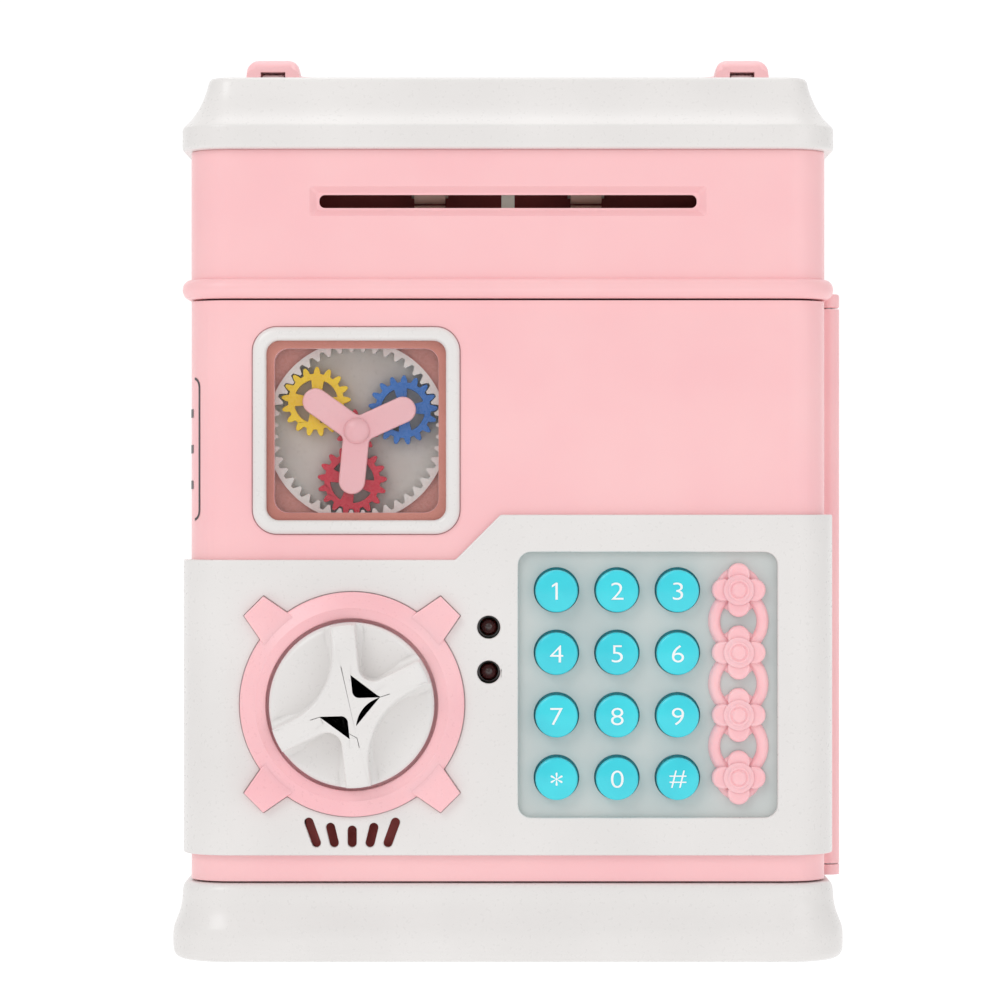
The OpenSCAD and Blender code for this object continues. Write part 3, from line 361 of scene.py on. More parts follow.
def arc_points(centre: Array, radius: float, start: float, end: float, steps: int) -> Array:
    """Points along an arc between two angles in degrees.

    Args:
        centre: Middle of the arc.
        radius: Its radius.
        start: Angle of its first point.
        end: Angle of its last point.
        steps: Parts in the arc.

    Returns:
        The points, one row each.
    """
    angle = np.radians(np.linspace(start, end, steps + 1))
    return np.asarray(centre) + radius * np.stack([np.cos(angle), np.sin(angle)], axis=-1)


def loft(sections: Array, steps: int = 16) -> Array:
    """Stacks rounded rectangles up Z.

    Args:
        sections: Rows of (width, depth, corner radius, middle along Y, height).
        steps: Parts in each quarter circle.

    Returns:
        A grid of one row for each section.
    """
    flat = rounded_outline(sections[:, 0], sections[:, 1], sections[:, 2], steps)
    flat = flat + np.stack([np.zeros(len(sections)), sections[:, 3]], axis=-1)[:, None]
    return placed(flat, sections[:, 4:5], "z")


def wall_sections(profile: Array) -> Array:
    """Loft rows that follow the cabinet's plan at each (offset outwards, height).

    Args:
        profile: Rows of (offset outwards, height).

    Returns:
        Rows of sections for loft.
    """
    off, height = profile[:, 0], profile[:, 1]
    radius = np.maximum(CORNER_R + off, 0.6)
    return np.stack([BODY_W + 2 * off, BODY_D + 2 * off, radius, np.zeros_like(off), height], axis=-1)


def carve(piece: bpy.types.Object, cutter: bpy.types.Object, crease: float = 38.0) -> None:
    """Cuts one closed piece out of another for good, and removes the cutter.

    Args:
        piece: Object that is cut.
        cutter: Object that is taken out of it.
        crease: Angle in degrees past which an edge is sharp.
    """
    cut = piece.modifiers.new("cut", "BOOLEAN")
    cut.object, cut.operation, cut.solver = cutter, "DIFFERENCE", "EXACT"
    bpy.context.view_layer.update()
    mesh = bpy.data.meshes.new_from_object(piece.evaluated_get(bpy.context.evaluated_depsgraph_get()))
    piece.modifiers.clear()
    piece.data = mesh
    bpy.data.objects.remove(cutter)
    tidy_mesh(mesh, crease)
    even = piece.modifiers.new("even", "WEIGHTED_NORMAL")
    even.keep_sharp, even.weight = True, 100


def soften(piece: bpy.types.Object, width: float, segments: int = 3, angle: float = 40.0) -> None:
    """Rounds a piece's sharp edges by a width in millimetres and evens its shading.

    Args:
        piece: Object whose edges are rounded.
        width: Width of the rounding.
        segments: Parts across each rounded edge.
        angle: Angle in degrees past which an edge is rounded.
    """
    bevel = piece.modifiers.new("round", "BEVEL")
    bevel.width, bevel.segments = width * MM, segments
    bevel.limit_method, bevel.angle_limit = "ANGLE", math.radians(angle)
    bevel.use_clamp_overlap, bevel.miter_outer = False, "MITER_ARC"
    even = piece.modifiers.new("even", "WEIGHTED_NORMAL")
    even.keep_sharp, even.weight = False, 100
    piece.data.polygons.foreach_set("use_smooth", np.ones(len(piece.data.polygons), bool))
    sharp = piece.data.attributes.get("sharp_edge")
    if sharp:
        piece.data.attributes.remove(sharp)


def finish_piece(
    piece: bpy.types.Object, body: Body | str, slot: Slot | str, look: bpy.types.Material, *nodes: str
) -> bpy.types.Object:
    """Dresses a piece, hangs it on the body that it moves with and hides the CAD nodes that it stands for.

    Args:
        piece: The finished piece.
        body: The body that it moves with.
        slot: The record's slot that it is finished from; not used.
        look: Its material.
        *nodes: The CAD nodes that it stands for.

    Returns:
        The piece.
    """
    piece.data.materials.clear()
    piece.data.materials.append(look)
    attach(piece, body.value if isinstance(body, Body) else body)
    if nodes:
        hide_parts(*nodes)
    LOG.info("%s: %d faces", piece.name, len(piece.data.polygons))
    return piece


def recast(frame: dict, node: str, name: str, width: float, segments: int = 3) -> bpy.types.Object:
    """Copies a frame node as a clean mesh with its flat faces joined and its edges rounded.

    Args:
        node: The CAD node.
        name: The new piece's name.
        width: Edge rounding in millimetres; with 0 the edges stay as they are.
        segments: Parts across each rounded edge.

    Returns:
        The new piece.
    """
    mesh = frame["nodes"][node].data.copy()
    mesh.name = name
    work = bmesh.new()
    work.from_mesh(mesh)
    bmesh.ops.remove_doubles(work, verts=work.verts, dist=2e-6)
    bmesh.ops.dissolve_limit(work, angle_limit=math.radians(0.6), verts=work.verts, edges=work.edges)
    work.to_mesh(mesh)
    work.free()
    piece = bpy.data.objects.new(name, mesh)
    bpy.context.scene.collection.objects.link(piece)
    if width:
        soften(piece, width, segments)
    else:
        tidy_mesh(mesh, 25.0)
    return piece


# ---------------------------------------------------------------- finishes


@dataclass(frozen=True)
class Moulded:
    """Injection-moulded plastic or rubber: a smooth skin with faint flow marks.

    The tone drifts a little over tens of millimetres where the melt flowed, and a fine
    grain from the steel mould breaks up its highlights.
    """

    name: str
    colour: str
    shade: str
    roughness: float = 0.33
    ior: float = 1.53
    flow_mm: float = 30.0
    grain_mm: float = 0.8
    grain: float = 0.004
    subsurface: float = 0.0
    metallic: float = 0.0
    coat: float = 0.0
    alpha: float = 1.0
    stretch: tuple[float, float, float] = (1.0, 1.0, 1.0)

    def material(self) -> bpy.types.Material:
        """Builds the material: drifting colour, varied roughness and a grain bump.

        Returns:
            The material.
        """
        look = bpy.data.materials.new(self.name)
        look.use_nodes = True
        tree = look.node_tree
        shader = next(n for n in tree.nodes if n.type == "BSDF_PRINCIPLED")
        place = add_node(tree, "ShaderNodeTexCoord").outputs["Object"]
        place = add_node(tree, "ShaderNodeMapping", {"Vector": place, "Scale": self.stretch}).outputs[0]
        flow = add_node(
            tree, "ShaderNodeTexNoise", {"Vector": place, "Scale": 1 / (self.flow_mm * MM), "Detail": 3.0}
        )
        tone = add_node(
            tree, "ShaderNodeMapRange", {"Value": flow.outputs[0], "From Min": 0.35, "From Max": 0.7}
        )
        mix = add_node(
            tree,
            "ShaderNodeMix",
            {"Factor": tone.outputs[0], 6: linear(self.colour), 7: linear(self.shade)},
            data_type="RGBA",
        )
        grain = add_node(
            tree, "ShaderNodeTexNoise", {"Vector": place, "Scale": 1 / (self.grain_mm * MM), "Detail": 2.0}
        )
        rough = add_node(
            tree,
            "ShaderNodeMapRange",
            {
                "Value": grain.outputs[0],
                "From Min": 0.3,
                "From Max": 0.7,
                "To Min": self.roughness * 0.88,
                "To Max": self.roughness * 1.12,
            },
        )
        bump = add_node(
            tree,
            "ShaderNodeBump",
            {"Height": grain.outputs[0], "Strength": self.grain, "Distance": self.grain_mm * MM * 0.2},
        )
        tree.links.new(self.tint(tree, place, mix.outputs[2]), shader.inputs["Base Color"])
        tree.links.new(rough.outputs[0], shader.inputs["Roughness"])
        tree.links.new(bump.outputs[0], shader.inputs["Normal"])
        shader.inputs["Metallic"].default_value = self.metallic
        if not self.metallic:
            shader.inputs["IOR"].default_value = self.ior
        shader.inputs["Coat Weight"].default_value = self.coat
        shader.inputs["Coat Roughness"].default_value = 0.12
        shader.inputs["Alpha"].default_value = self.alpha
        shader.inputs["Subsurface Weight"].default_value = self.subsurface
        shader.inputs["Subsurface Radius"].default_value = (1.0, 0.6, 0.5)
        shader.inputs["Subsurface Scale"].default_value = 1.5 * MM
        look.diffuse_color = (*linear(self.colour)[:3], self.alpha)
        return look

    def tint(
        self, tree: bpy.types.NodeTree, place: bpy.types.NodeSocket, colour: bpy.types.NodeSocket
    ) -> bpy.types.NodeSocket:
        """Returns the colour to use; a plain moulding keeps the drifting tone as it is.

        Args:
            tree: The material's node tree.
            place: Place on the piece, in metres.
            colour: The drifting tone.

        Returns:
            The socket that gives the base colour.
        """
        return colour


@dataclass(frozen=True)
class RingMoulding(Moulded):
    """Milky ring gear, its square plate painted salmon outside the round rim.

    There the pink door shows through the thin plate, and the salmon is painted shade of the recess.
    """

    # painted shade: salmon for the pink door behind the plate as it looks in the recess's shadow
    corner: str = "C98D82"
    rim_mm: float = 19.35
    middle: tuple[float, float] = (-32.3, 112.8)

    def tint(
        self, tree: bpy.types.NodeTree, place: bpy.types.NodeSocket, colour: bpy.types.NodeSocket
    ) -> bpy.types.NodeSocket:
        """Mixes in the painted shade colour of the corners where the distance from the axle passes the rim.

        Args:
            tree: The material's node tree.
            place: Place on the piece, in metres.
            colour: The drifting tone.

        Returns:
            The socket that gives the base colour.
        """
        flat = add_node(
            tree, "ShaderNodeVectorMath", {0: place, 1: (1.0, 0.0, 1.0)}, operation="MULTIPLY"
        ).outputs[0]
        hub = (self.middle[0] * MM, 0.0, self.middle[1] * MM)
        away = add_node(tree, "ShaderNodeVectorMath", {0: flat, 1: hub}, operation="DISTANCE")
        past = add_node(
            tree, "ShaderNodeMath", {0: away.outputs["Value"], 1: self.rim_mm * MM}, operation="GREATER_THAN"
        )
        mix = add_node(
            tree,
            "ShaderNodeMix",
            {"Factor": past.outputs[0], 6: colour, 7: linear(self.corner)},
            data_type="RGBA",
        )
        return mix.outputs[2]


@dataclass(frozen=True)
class BandedWrap(Moulded):
    """Printed film wrap of a dry cell: a gold band at its positive end."""

    band: str = "C98A2E"
    edge_mm: float = 30.0

    def tint(
        self, tree: bpy.types.NodeTree, place: bpy.types.NodeSocket, colour: bpy.types.NodeSocket
    ) -> bpy.types.NodeSocket:
        """Mixes in the band's colour where Y passes the band's edge.

        Args:
            tree: The material's node tree.
            place: Place on the piece, in metres.
            colour: The drifting tone.

        Returns:
            The socket that gives the base colour.
        """
        depth = add_node(tree, "ShaderNodeSeparateXYZ", {0: place}).outputs["Y"]
        past = add_node(tree, "ShaderNodeMath", {0: depth, 1: self.edge_mm * MM}, operation="GREATER_THAN")
        mix = add_node(
            tree,
            "ShaderNodeMix",
            {"Factor": past.outputs[0], 6: colour, 7: linear(self.band)},
            data_type="RGBA",
        )
        return mix.outputs[2]


FINISHES = (
    Moulded("pink_abs_moulded", "FAC5C7", "F8BEC2", roughness=0.34, subsurface=0.06),
    Moulded("deep_pink_abs_moulded", "FBC5C9", "F7B9BF", roughness=0.3, subsurface=0.12),
    Moulded("white_abs_moulded", "E6E3E1", "E1DEDC", roughness=0.3),
    Moulded("turquoise_abs_moulded", "38D9E6", "30CDDD", roughness=0.22, flow_mm=12.0, coat=0.3),
    Moulded("satin_grey_keypad_plate", "C9CECC", "BDC5C4", roughness=0.38, flow_mm=16.0, coat=0.2),
    Moulded("soft_pink_flower_moulding", "FCC6CA", "F8BCC2", roughness=0.32, flow_mm=8.0, subsurface=0.2),
    Moulded("yellow_acetal_gear", "F2CE12", "E9BE0C", roughness=0.28, flow_mm=6.0, subsurface=0.15),
    Moulded("blue_acetal_gear", "2A6FBF", "2263B2", roughness=0.28, flow_mm=6.0, subsurface=0.05),
    Moulded("red_acetal_gear", "CC1839", "BC1232", roughness=0.28, flow_mm=6.0, subsurface=0.1),
    Moulded("milky_back_plate", "CFC9C3", "BDB4AD", roughness=0.3, flow_mm=14.0, subsurface=0.2),
    RingMoulding("milky_ring_gear", "E2DEDA", "D6D0CB", roughness=0.28, flow_mm=10.0, subsurface=0.15),
    Moulded("natural_nylon", "E8E4D8", "DCD6C8", roughness=0.4, flow_mm=6.0, subsurface=0.2),
    Moulded("zinc_plated_steel", "C9CCD0", "B8BCC2", roughness=0.32, metallic=1.0, grain_mm=0.4),
    Moulded(
        "brushed_motor_can", "BDBFC2", "A9ACB0", roughness=0.34, metallic=1.0, grain_mm=0.5,
        stretch=(1.0, 12.0, 12.0),
    ),
    Moulded("spring_steel_contact", "D3D2CC", "BFBEB6", roughness=0.28, metallic=1.0, grain_mm=0.4),
    Moulded("pale_foot_rubber", "D6D2CE", "C8C3BF", roughness=0.75, grain_mm=0.5, grain=0.2),
    Moulded("tan_tyre_rubber", "E6C9BC", "D8B5A6", roughness=0.7, grain_mm=0.5, grain=0.25),
    Moulded("grey_silicone_mat", "B9BBBB", "ABAEAE", roughness=0.6, grain_mm=0.5),
    Moulded("green_circuit_board", "1E6B3C", "175A31", roughness=0.35, grain_mm=0.6, coat=0.4),
    Moulded("black_moulded_plastic", "1C1B1D", "121113", roughness=0.42),
    # painted shade: dark red for the pink inside of the bank as it looks deep in shadow
    Moulded("deep_red_inner_moulding", "B85450", "A44844", roughness=0.6, grain_mm=0.5, grain=0.2),
    # painted shade: a salmon band standing for the pink wall inside the window's recess in shadow
    Moulded("salmon_window_gasket", "D98C7C", "CB7C6E", roughness=0.5),
    # painted shade: the lenses' own dark tint, darkened further to the shade of the deep holes that they
    # fill
    Moulded("dark_lamp_lens_in_shade", "3A1512", "250C0A", roughness=0.08, flow_mm=3.0, grain=0.0, coat=0.6),
    BandedWrap("dry_cell_wrap", "23405F", "1B3350", roughness=0.25, coat=0.5),
    Moulded("white_pad_print", "F4F7F7", "EDF2F2", roughness=0.35, flow_mm=4.0, grain_mm=0.3),
    Moulded("grey_pad_print", "4A4446", "3C3739", roughness=0.4, flow_mm=4.0, grain_mm=0.3),
)

NODE_LOOKS = {
    "rubber_feet": "pale_foot_rubber",
    "battery_cover": "white_abs_moulded",
    "case_screws": "zinc_plated_steel",
    "aa_cells": "dry_cell_wrap",
    "battery_contacts": "spring_steel_contact",
    "coin_chute": "white_abs_moulded",
    # painted shade: the tray in the note slot gets the red of pink plastic in shadow
    "mechanism_tray": "deep_red_inner_moulding",
    "feed_motor": "brushed_motor_can",
    "hinge_pin": "zinc_plated_steel",
    "handle_pins": "zinc_plated_steel",
    "feed_roller": "natural_nylon",
    "feed_tyres": "tan_tyre_rubber",
    "motor_pinion": "natural_nylon",
    "pinch_roller": "tan_tyre_rubber",
    "note_flag": "natural_nylon",
    "door_screws": "zinc_plated_steel",
    "gear_back_plate": "milky_back_plate",
    "ring_gear": "milky_ring_gear",
    "gear_motor": "brushed_motor_can",
    "key_mat": "grey_silicone_mat",
    "control_board": "green_circuit_board",
    # painted shade: both lamps, red and green, are darkened to their holes' shade
    "led_red": "dark_lamp_lens_in_shade",
    "led_green": "dark_lamp_lens_in_shade",
    # painted shade: the speaker gets the red of the pink wall in shadow behind its slots
    "speaker": "deep_red_inner_moulding",
    "lock_solenoid": "brushed_motor_can",
    "dial_shaft": "natural_nylon",
    "latch_bolt": "natural_nylon",
    "lock_plunger": "zinc_plated_steel",
    "sun_gear": "red_acetal_gear",
    "keypad_plate": "satin_grey_keypad_plate",
}


def clear_pane() -> bpy.types.Material:
    """Flat clear polystyrene: nearly all light passes, and its skin gives a faint gloss.

    Returns:
        The material.
    """
    look = bpy.data.materials.new("clear_styrene_pane")
    look.use_nodes = True
    shader = next(n for n in look.node_tree.nodes if n.type == "BSDF_PRINCIPLED")
    shader.inputs["Base Color"].default_value = linear("8E9494")
    shader.inputs["Alpha"].default_value = 0.06
    place = add_node(look.node_tree, "ShaderNodeTexCoord").outputs["Object"]
    smear = add_node(
        look.node_tree, "ShaderNodeTexNoise", {"Vector": place, "Scale": 1 / (9 * MM), "Detail": 2.0}
    )
    rough = add_node(
        look.node_tree, "ShaderNodeMapRange", {"Value": smear.outputs[0], "To Min": 0.03, "To Max": 0.1}
    )
    look.node_tree.links.new(rough.outputs[0], shader.inputs["Roughness"])
    shader.inputs["IOR"].default_value = 1.59
    shader.inputs["Coat Weight"].default_value = 0.6
    shader.inputs["Coat Roughness"].default_value = 0.02
    return look


# ---------------------------------------------------------------- cabinet


@dataclass
class Cabinet:
    """Plinth, note housing, roof and the box behind the door."""

    base_h: float = 16.5
    flare: float = 3.9
    wall: float = 2.0
    door_top: float = 140.9
    bead_h: float = 4.3
    bead_out: float = 1.9
    housing_top: float = 172.7
    roof_top: float = 188.4
    note_w: float = 80.4
    note_h: float = 2.8
    note_z: float = 161.6
    coin_l: float = 34.0
    coin_w: float = 3.6
    coin_y: float = -22.0
    lug_x: float = 53.2
    lug_w: float = 5.0
    pivot_z: float = 192.2
    bail_span: float = 106.4
    bail_w: float = 12.0
    bail_reach: float = 40.0
    bail_bend: float = 8.0
    bail_front: float = -3.15
    hinge: tuple[float, float] = (69.7, -37.15)
    barrel_r: float = 2.6
    hatch: tuple[float, float, float] = (48.8, 66.8, 11.5)
    hatch_t: float = 1.6
    screw_x: float = 58.0
    screw_y: float = 46.0
    screw_r: float = 3.0
    screw_t: float = 1.4
    pad_x: float = 47.0
    pad_y: float = 44.0
    pad_r: float = 6.0
    pad_t: float = 1.6

    def plinth(self) -> bpy.types.Object:
        """Flared plinth: an ogee carried round the cabinet's plan, with a floor.

        Returns:
            The plinth, with its screw and pad pockets cut.
        """
        f, top = self.flare, self.base_h
        ogee = smooth_path(
            [(f - 1.6, 0.0), (f - 0.7, 0.5), (f - 0.12, 1.6), (f, 3.2), (f, 5.2), (f - 0.25, 6.9),
             (f - 0.9, 8.6), (f - 1.5, 10.3), (f - 1.9, 12.2), (f - 2.05, 14.2), (f - 2.3, 15.5),
             (f - 2.9, 16.25), (f - 3.7, top)],
            6,
        )
        inner = np.array([(-self.wall, top), (-self.wall, self.wall)])
        wide, deep, mid = self.hatch
        recess = np.array([[wide, deep, 0.4, mid, level] for level in (self.hatch_t, 0.0)])
        sections = np.vstack([wall_sections(ogee), wall_sections(inner), recess])
        piece = Skin.empty().add_grid(loft(sections), wrap_rows=True).build("plinth_moulding")
        cutter = Skin.empty()
        for sx in (-1, 1):
            for sy in (-1, 1):
                screw, pad = (sx * self.screw_x, sy * self.screw_y), (sx * self.pad_x, sy * self.pad_y)
                self.pocket(cutter, screw, self.screw_r, self.screw_t)
                self.pocket(cutter, pad, self.pad_r + 0.2, self.pad_t)
        carve(piece, cutter.build("plinth_cutter"))
        return piece

    @staticmethod
    def pocket(cutter: Skin, centre: tuple[float, float], radius: float, depth: float) -> None:
        """Adds a round pocket in the underside to a cutter.

        Args:
            cutter: Cutter that the pocket is added to.
            centre: Middle of the pocket, in X and Y.
            radius: Radius of the pocket.
            depth: Depth of the pocket.
        """
        wall = np.array([[radius, -1.0], [radius, depth]])
        cutter.add_grid(turned(wall, centre, "z", 40), caps="ab")

    def housing(self) -> bpy.types.Object:
        """Note housing: a half-round bead, a straight wall and a bevelled note slot.

        Returns:
            The housing, with the upper knuckle of the door's hinge.
        """
        z0, z1 = self.door_top, self.housing_top
        turn = np.linspace(0, np.pi, 19)
        level = z0 + self.bead_h / 2 * (1 - np.cos(turn))
        bead = np.stack([self.bead_out * np.sin(turn), level], axis=-1)
        wall = np.array([(0.0, z0 + self.bead_h + 0.3), (0.0, z1 - 0.3), (-0.3, z1)])
        inner = np.array([(-self.wall, z1), (-self.wall, z0)])
        grid = loft(wall_sections(np.vstack([bead, wall, inner])))
        piece = Skin.empty().add_grid(grid, wrap_rows=True).build("note_housing")
        carve(piece, self.note_funnel(), 22.0)
        r, low, high = self.barrel_r, z0 - 1.1, z0 + 1.9
        ear = [[0.0, low], [r - 0.3, low], [r, low + 0.3], [r, high - 0.3], [r - 0.3, high], [0.0, high]]
        join(piece, Skin.empty().add_grid(turned(np.array(ear), self.hinge, "z", 40)).build("ear"))
        return piece

    def note_funnel(self) -> bpy.types.Object:
        """Cutter of the note slot: a shallow bevel that narrows to a round-ended slot.

        Returns:
            The cutter.
        """
        width = self.note_w + np.array([4.7, 4.1, 1.2, 0.0, 0.0])
        height = self.note_h + np.array([4.1, 3.5, 1.0, 0.0, 0.0])
        radius = np.array([0.8, 0.6, 0.7, 1.2, 1.2])
        depth = FRONT_Y + np.array([-0.3, 0.0, 1.2, 1.25, 4.0])
        flat = rounded_outline(width, height, radius, 8) + np.array([0.0, self.note_z])
        return Skin.empty().add_grid(placed(flat, depth[:, None]), caps="ab").build("slot_cutter")

    def roof(self) -> bpy.types.Object:
        """Roof: a lip, a hollow cove, a flat top pierced by the coin slot, and the handle's lugs.

        Returns:
            The roof.
        """
        out, top, foot = self.bead_out, self.roof_top, self.housing_top
        lip = smooth_path(
            [(out - 0.9, foot), (out - 0.3, foot + 0.15), (out, foot + 0.75), (out, foot + 2.6),
             (out, foot + 4.4), (out - 0.12, foot + 5.0), (out - 0.5, foot + 5.45)],
            5,
        )
        cove = smooth_path(
            [(out - 0.7, foot + 5.65), (out - 1.9, foot + 6.9), (out - 3.05, foot + 8.5),
             (out - 3.95, foot + 10.1), (out - 4.7, foot + 11.8), (out - 5.25, foot + 13.4),
             (out - 5.6, foot + 14.7)],
            4,
        )
        edge = np.array([(out - 5.8, top - 0.5), (out - 6.15, top - 0.12), (out - 6.6, top)])
        outer = wall_sections(np.vstack([lip, cove, edge]))
        long, wide = self.coin_l + 8.0, self.coin_w + 7.0
        collar = np.array(
            [(long, wide, 4.0, self.coin_y, top),
             (long - 0.1, wide - 0.1, 4.0, self.coin_y, top + 0.45),
             (long - 0.8, wide - 0.8, 3.8, self.coin_y, top + 0.8),
             (self.coin_l + 0.7, self.coin_w + 0.7, 2.0, self.coin_y, top + 0.8),
             (self.coin_l, self.coin_w, 1.75, self.coin_y, top + 0.45),
             (self.coin_l, self.coin_w, 1.75, self.coin_y, top - 2.0)]
        )
        under_w, under_d = BODY_W - 13, BODY_D - 13
        under = np.array([(under_w, under_d, 4.0, 0.0, level) for level in (top - 2.0, foot + 6.0)])
        inner = wall_sections(np.array([(-self.wall, foot + 6.0), (-self.wall, foot)]))
        sections = np.vstack([outer, collar, under, inner])
        skin = Skin.empty().add_grid(loft(sections), wrap_rows=True)
        for sx in (-1, 1):
            self.add_lug(skin, sx * self.lug_x)
        return skin.build("roof_moulding")

    def bail(self) -> bpy.types.Object:
        """Carrying handle: one round-edged section swept round a U, its ends forked for the lugs.

        The section is a little narrower and lower across the grip than along the arms.

        Returns:
            The handle, with its two notches cut.
        """
        half, bend, front = self.bail_span / 2, self.bail_bend, self.bail_front
        back = self.bail_reach - 5.0
        arm = np.stack([np.full(30, half), np.linspace(front, back - bend, 30)], axis=-1)
        side = np.vstack([arm, arc_points((half - bend, back - bend), bend, 0, 90, 12)[1:]])
        path = np.vstack([side, side[::-1] * np.array([-1.0, 1.0])])
        along = np.gradient(path, axis=0)
        along = along / np.hypot(*along.T)[:, None]
        across = np.stack([along[:, 1], -along[:, 0]], axis=-1)
        ease = np.clip((path[:, 1] - front) / (back - front), 0, 1)
        low, top, edge = self.roof_top + 2.4, self.roof_top + 10.0, 2.6
        turn = np.linspace(0, np.pi / 2, 7)
        right = np.vstack(
            [[-0.8, low], [-0.25, low + 0.2], [0.0, low + 0.8],
             np.stack([edge * (np.cos(turn) - 1), top - edge + edge * np.sin(turn)], axis=-1)]
        )
        width = self.bail_w / 2 - ease[:, None]
        out = np.concatenate([width + right[:, 0], -(width + right[::-1, 0])], axis=1)
        height = np.concatenate([right[:, 1], right[::-1, 1]])
        behind, sunk = [front, -2.2, -1.0, 0.5, 10.0, 22.0, back], [2.6, 1.2, 0.7, 0.4, 0.0, 0.1, 0.8]
        drop = np.interp(path[:, 1], behind, sunk)
        height = height - drop[:, None] * (height - low) / (top - low)
        flat = path[:, None] + out[..., None] * across[:, None]
        grid = np.concatenate([flat, height[..., None]], axis=-1)
        piece = Skin.empty().add_grid(grid, caps="ab").build("carrying_handle", 30.0)
        cutter = Skin.empty()
        for sx in (-1, 1):
            notch = rounded_outline(self.lug_w + 0.6, 8.0, 0.1, 2)[0] + np.array([sx * self.lug_x, -1.1])
            level = np.array([[low - 2.0], [self.pivot_z + 2.85]])
            cutter.add_grid(placed(np.stack([notch, notch]), level, "z"), caps="ab")
        carve(piece, cutter.build("notch_cutter"))
        return piece

    def add_lug(self, skin: Skin, x: float) -> None:
        """Adds one handle lug: a block with a half-round top, its edges softened.

        Args:
            skin: Skin that the lug is added to.
            x: Middle of the lug.
        """
        top = arc_points((0.0, self.pivot_z), 2.5, 0, 180, 16)
        outline = np.vstack([top, [[-2.5, self.roof_top - 0.5], [2.5, self.roof_top - 0.5]]])
        for side in (-1, 1):
            edge = round_edge(0.35, x, x + side * self.lug_w / 2, 4)
            skin.add_grid(plate_grid(outline, edge, "x"), caps="b")

    def build(self, frame: dict, looks: dict) -> None:
        """Builds and dresses the cabinet's pieces.

        Args:
            looks: Each material by its name.
        """
        pink, white = looks["pink_abs_moulded"], looks["white_abs_moulded"]
        finish_piece(self.plinth(), Body.CABINET, Slot.WHITE, white, "base_plinth")
        finish_piece(self.housing(), Body.CABINET, Slot.PINK, pink, "upper_housing")
        finish_piece(self.roof(), Body.CABINET, Slot.WHITE, white, "roof")
        box = recast(frame, "body_shell", "cabinet_box", 0.0)
        finish_piece(box, Body.CABINET, Slot.PINK, pink, "body_shell")
        finish_piece(self.bail(), Body.HANDLE, Slot.PINK, pink, "handle")


def cut_seam(piece: bpy.types.Object, outer: Array, inner: Array, front: float, depth: float) -> None:
    """Cuts the narrow gap that shows round a part let into a face.

    Args:
        piece: Object that is cut.
        outer: Closed outline of the gap's outer side, in X and Z.
        inner: Outline of its inner side, with the same number of points.
        front: Y of the face.
        depth: Depth of the gap.
    """
    flat = np.stack([outer, outer, inner, inner])
    level = front + np.array([-1.0, depth, depth, -1.0])
    cutter = Skin.empty().add_grid(placed(flat, level[:, None]), wrap_rows=True)
    carve(piece, cutter.build("seam_cutter"), 25.0)


def join(piece: bpy.types.Object, extra: bpy.types.Object) -> None:
    """Adds another piece's mesh to a piece as a separate island and removes the other.

    Args:
        piece: Object that is added to.
        extra: Object whose mesh is added.
    """
    work = bmesh.new()
    work.from_mesh(piece.data)
    work.from_mesh(extra.data)
    work.to_mesh(piece.data)
    work.free()
    bpy.data.objects.remove(extra)


# ---------------------------------------------------------------- door


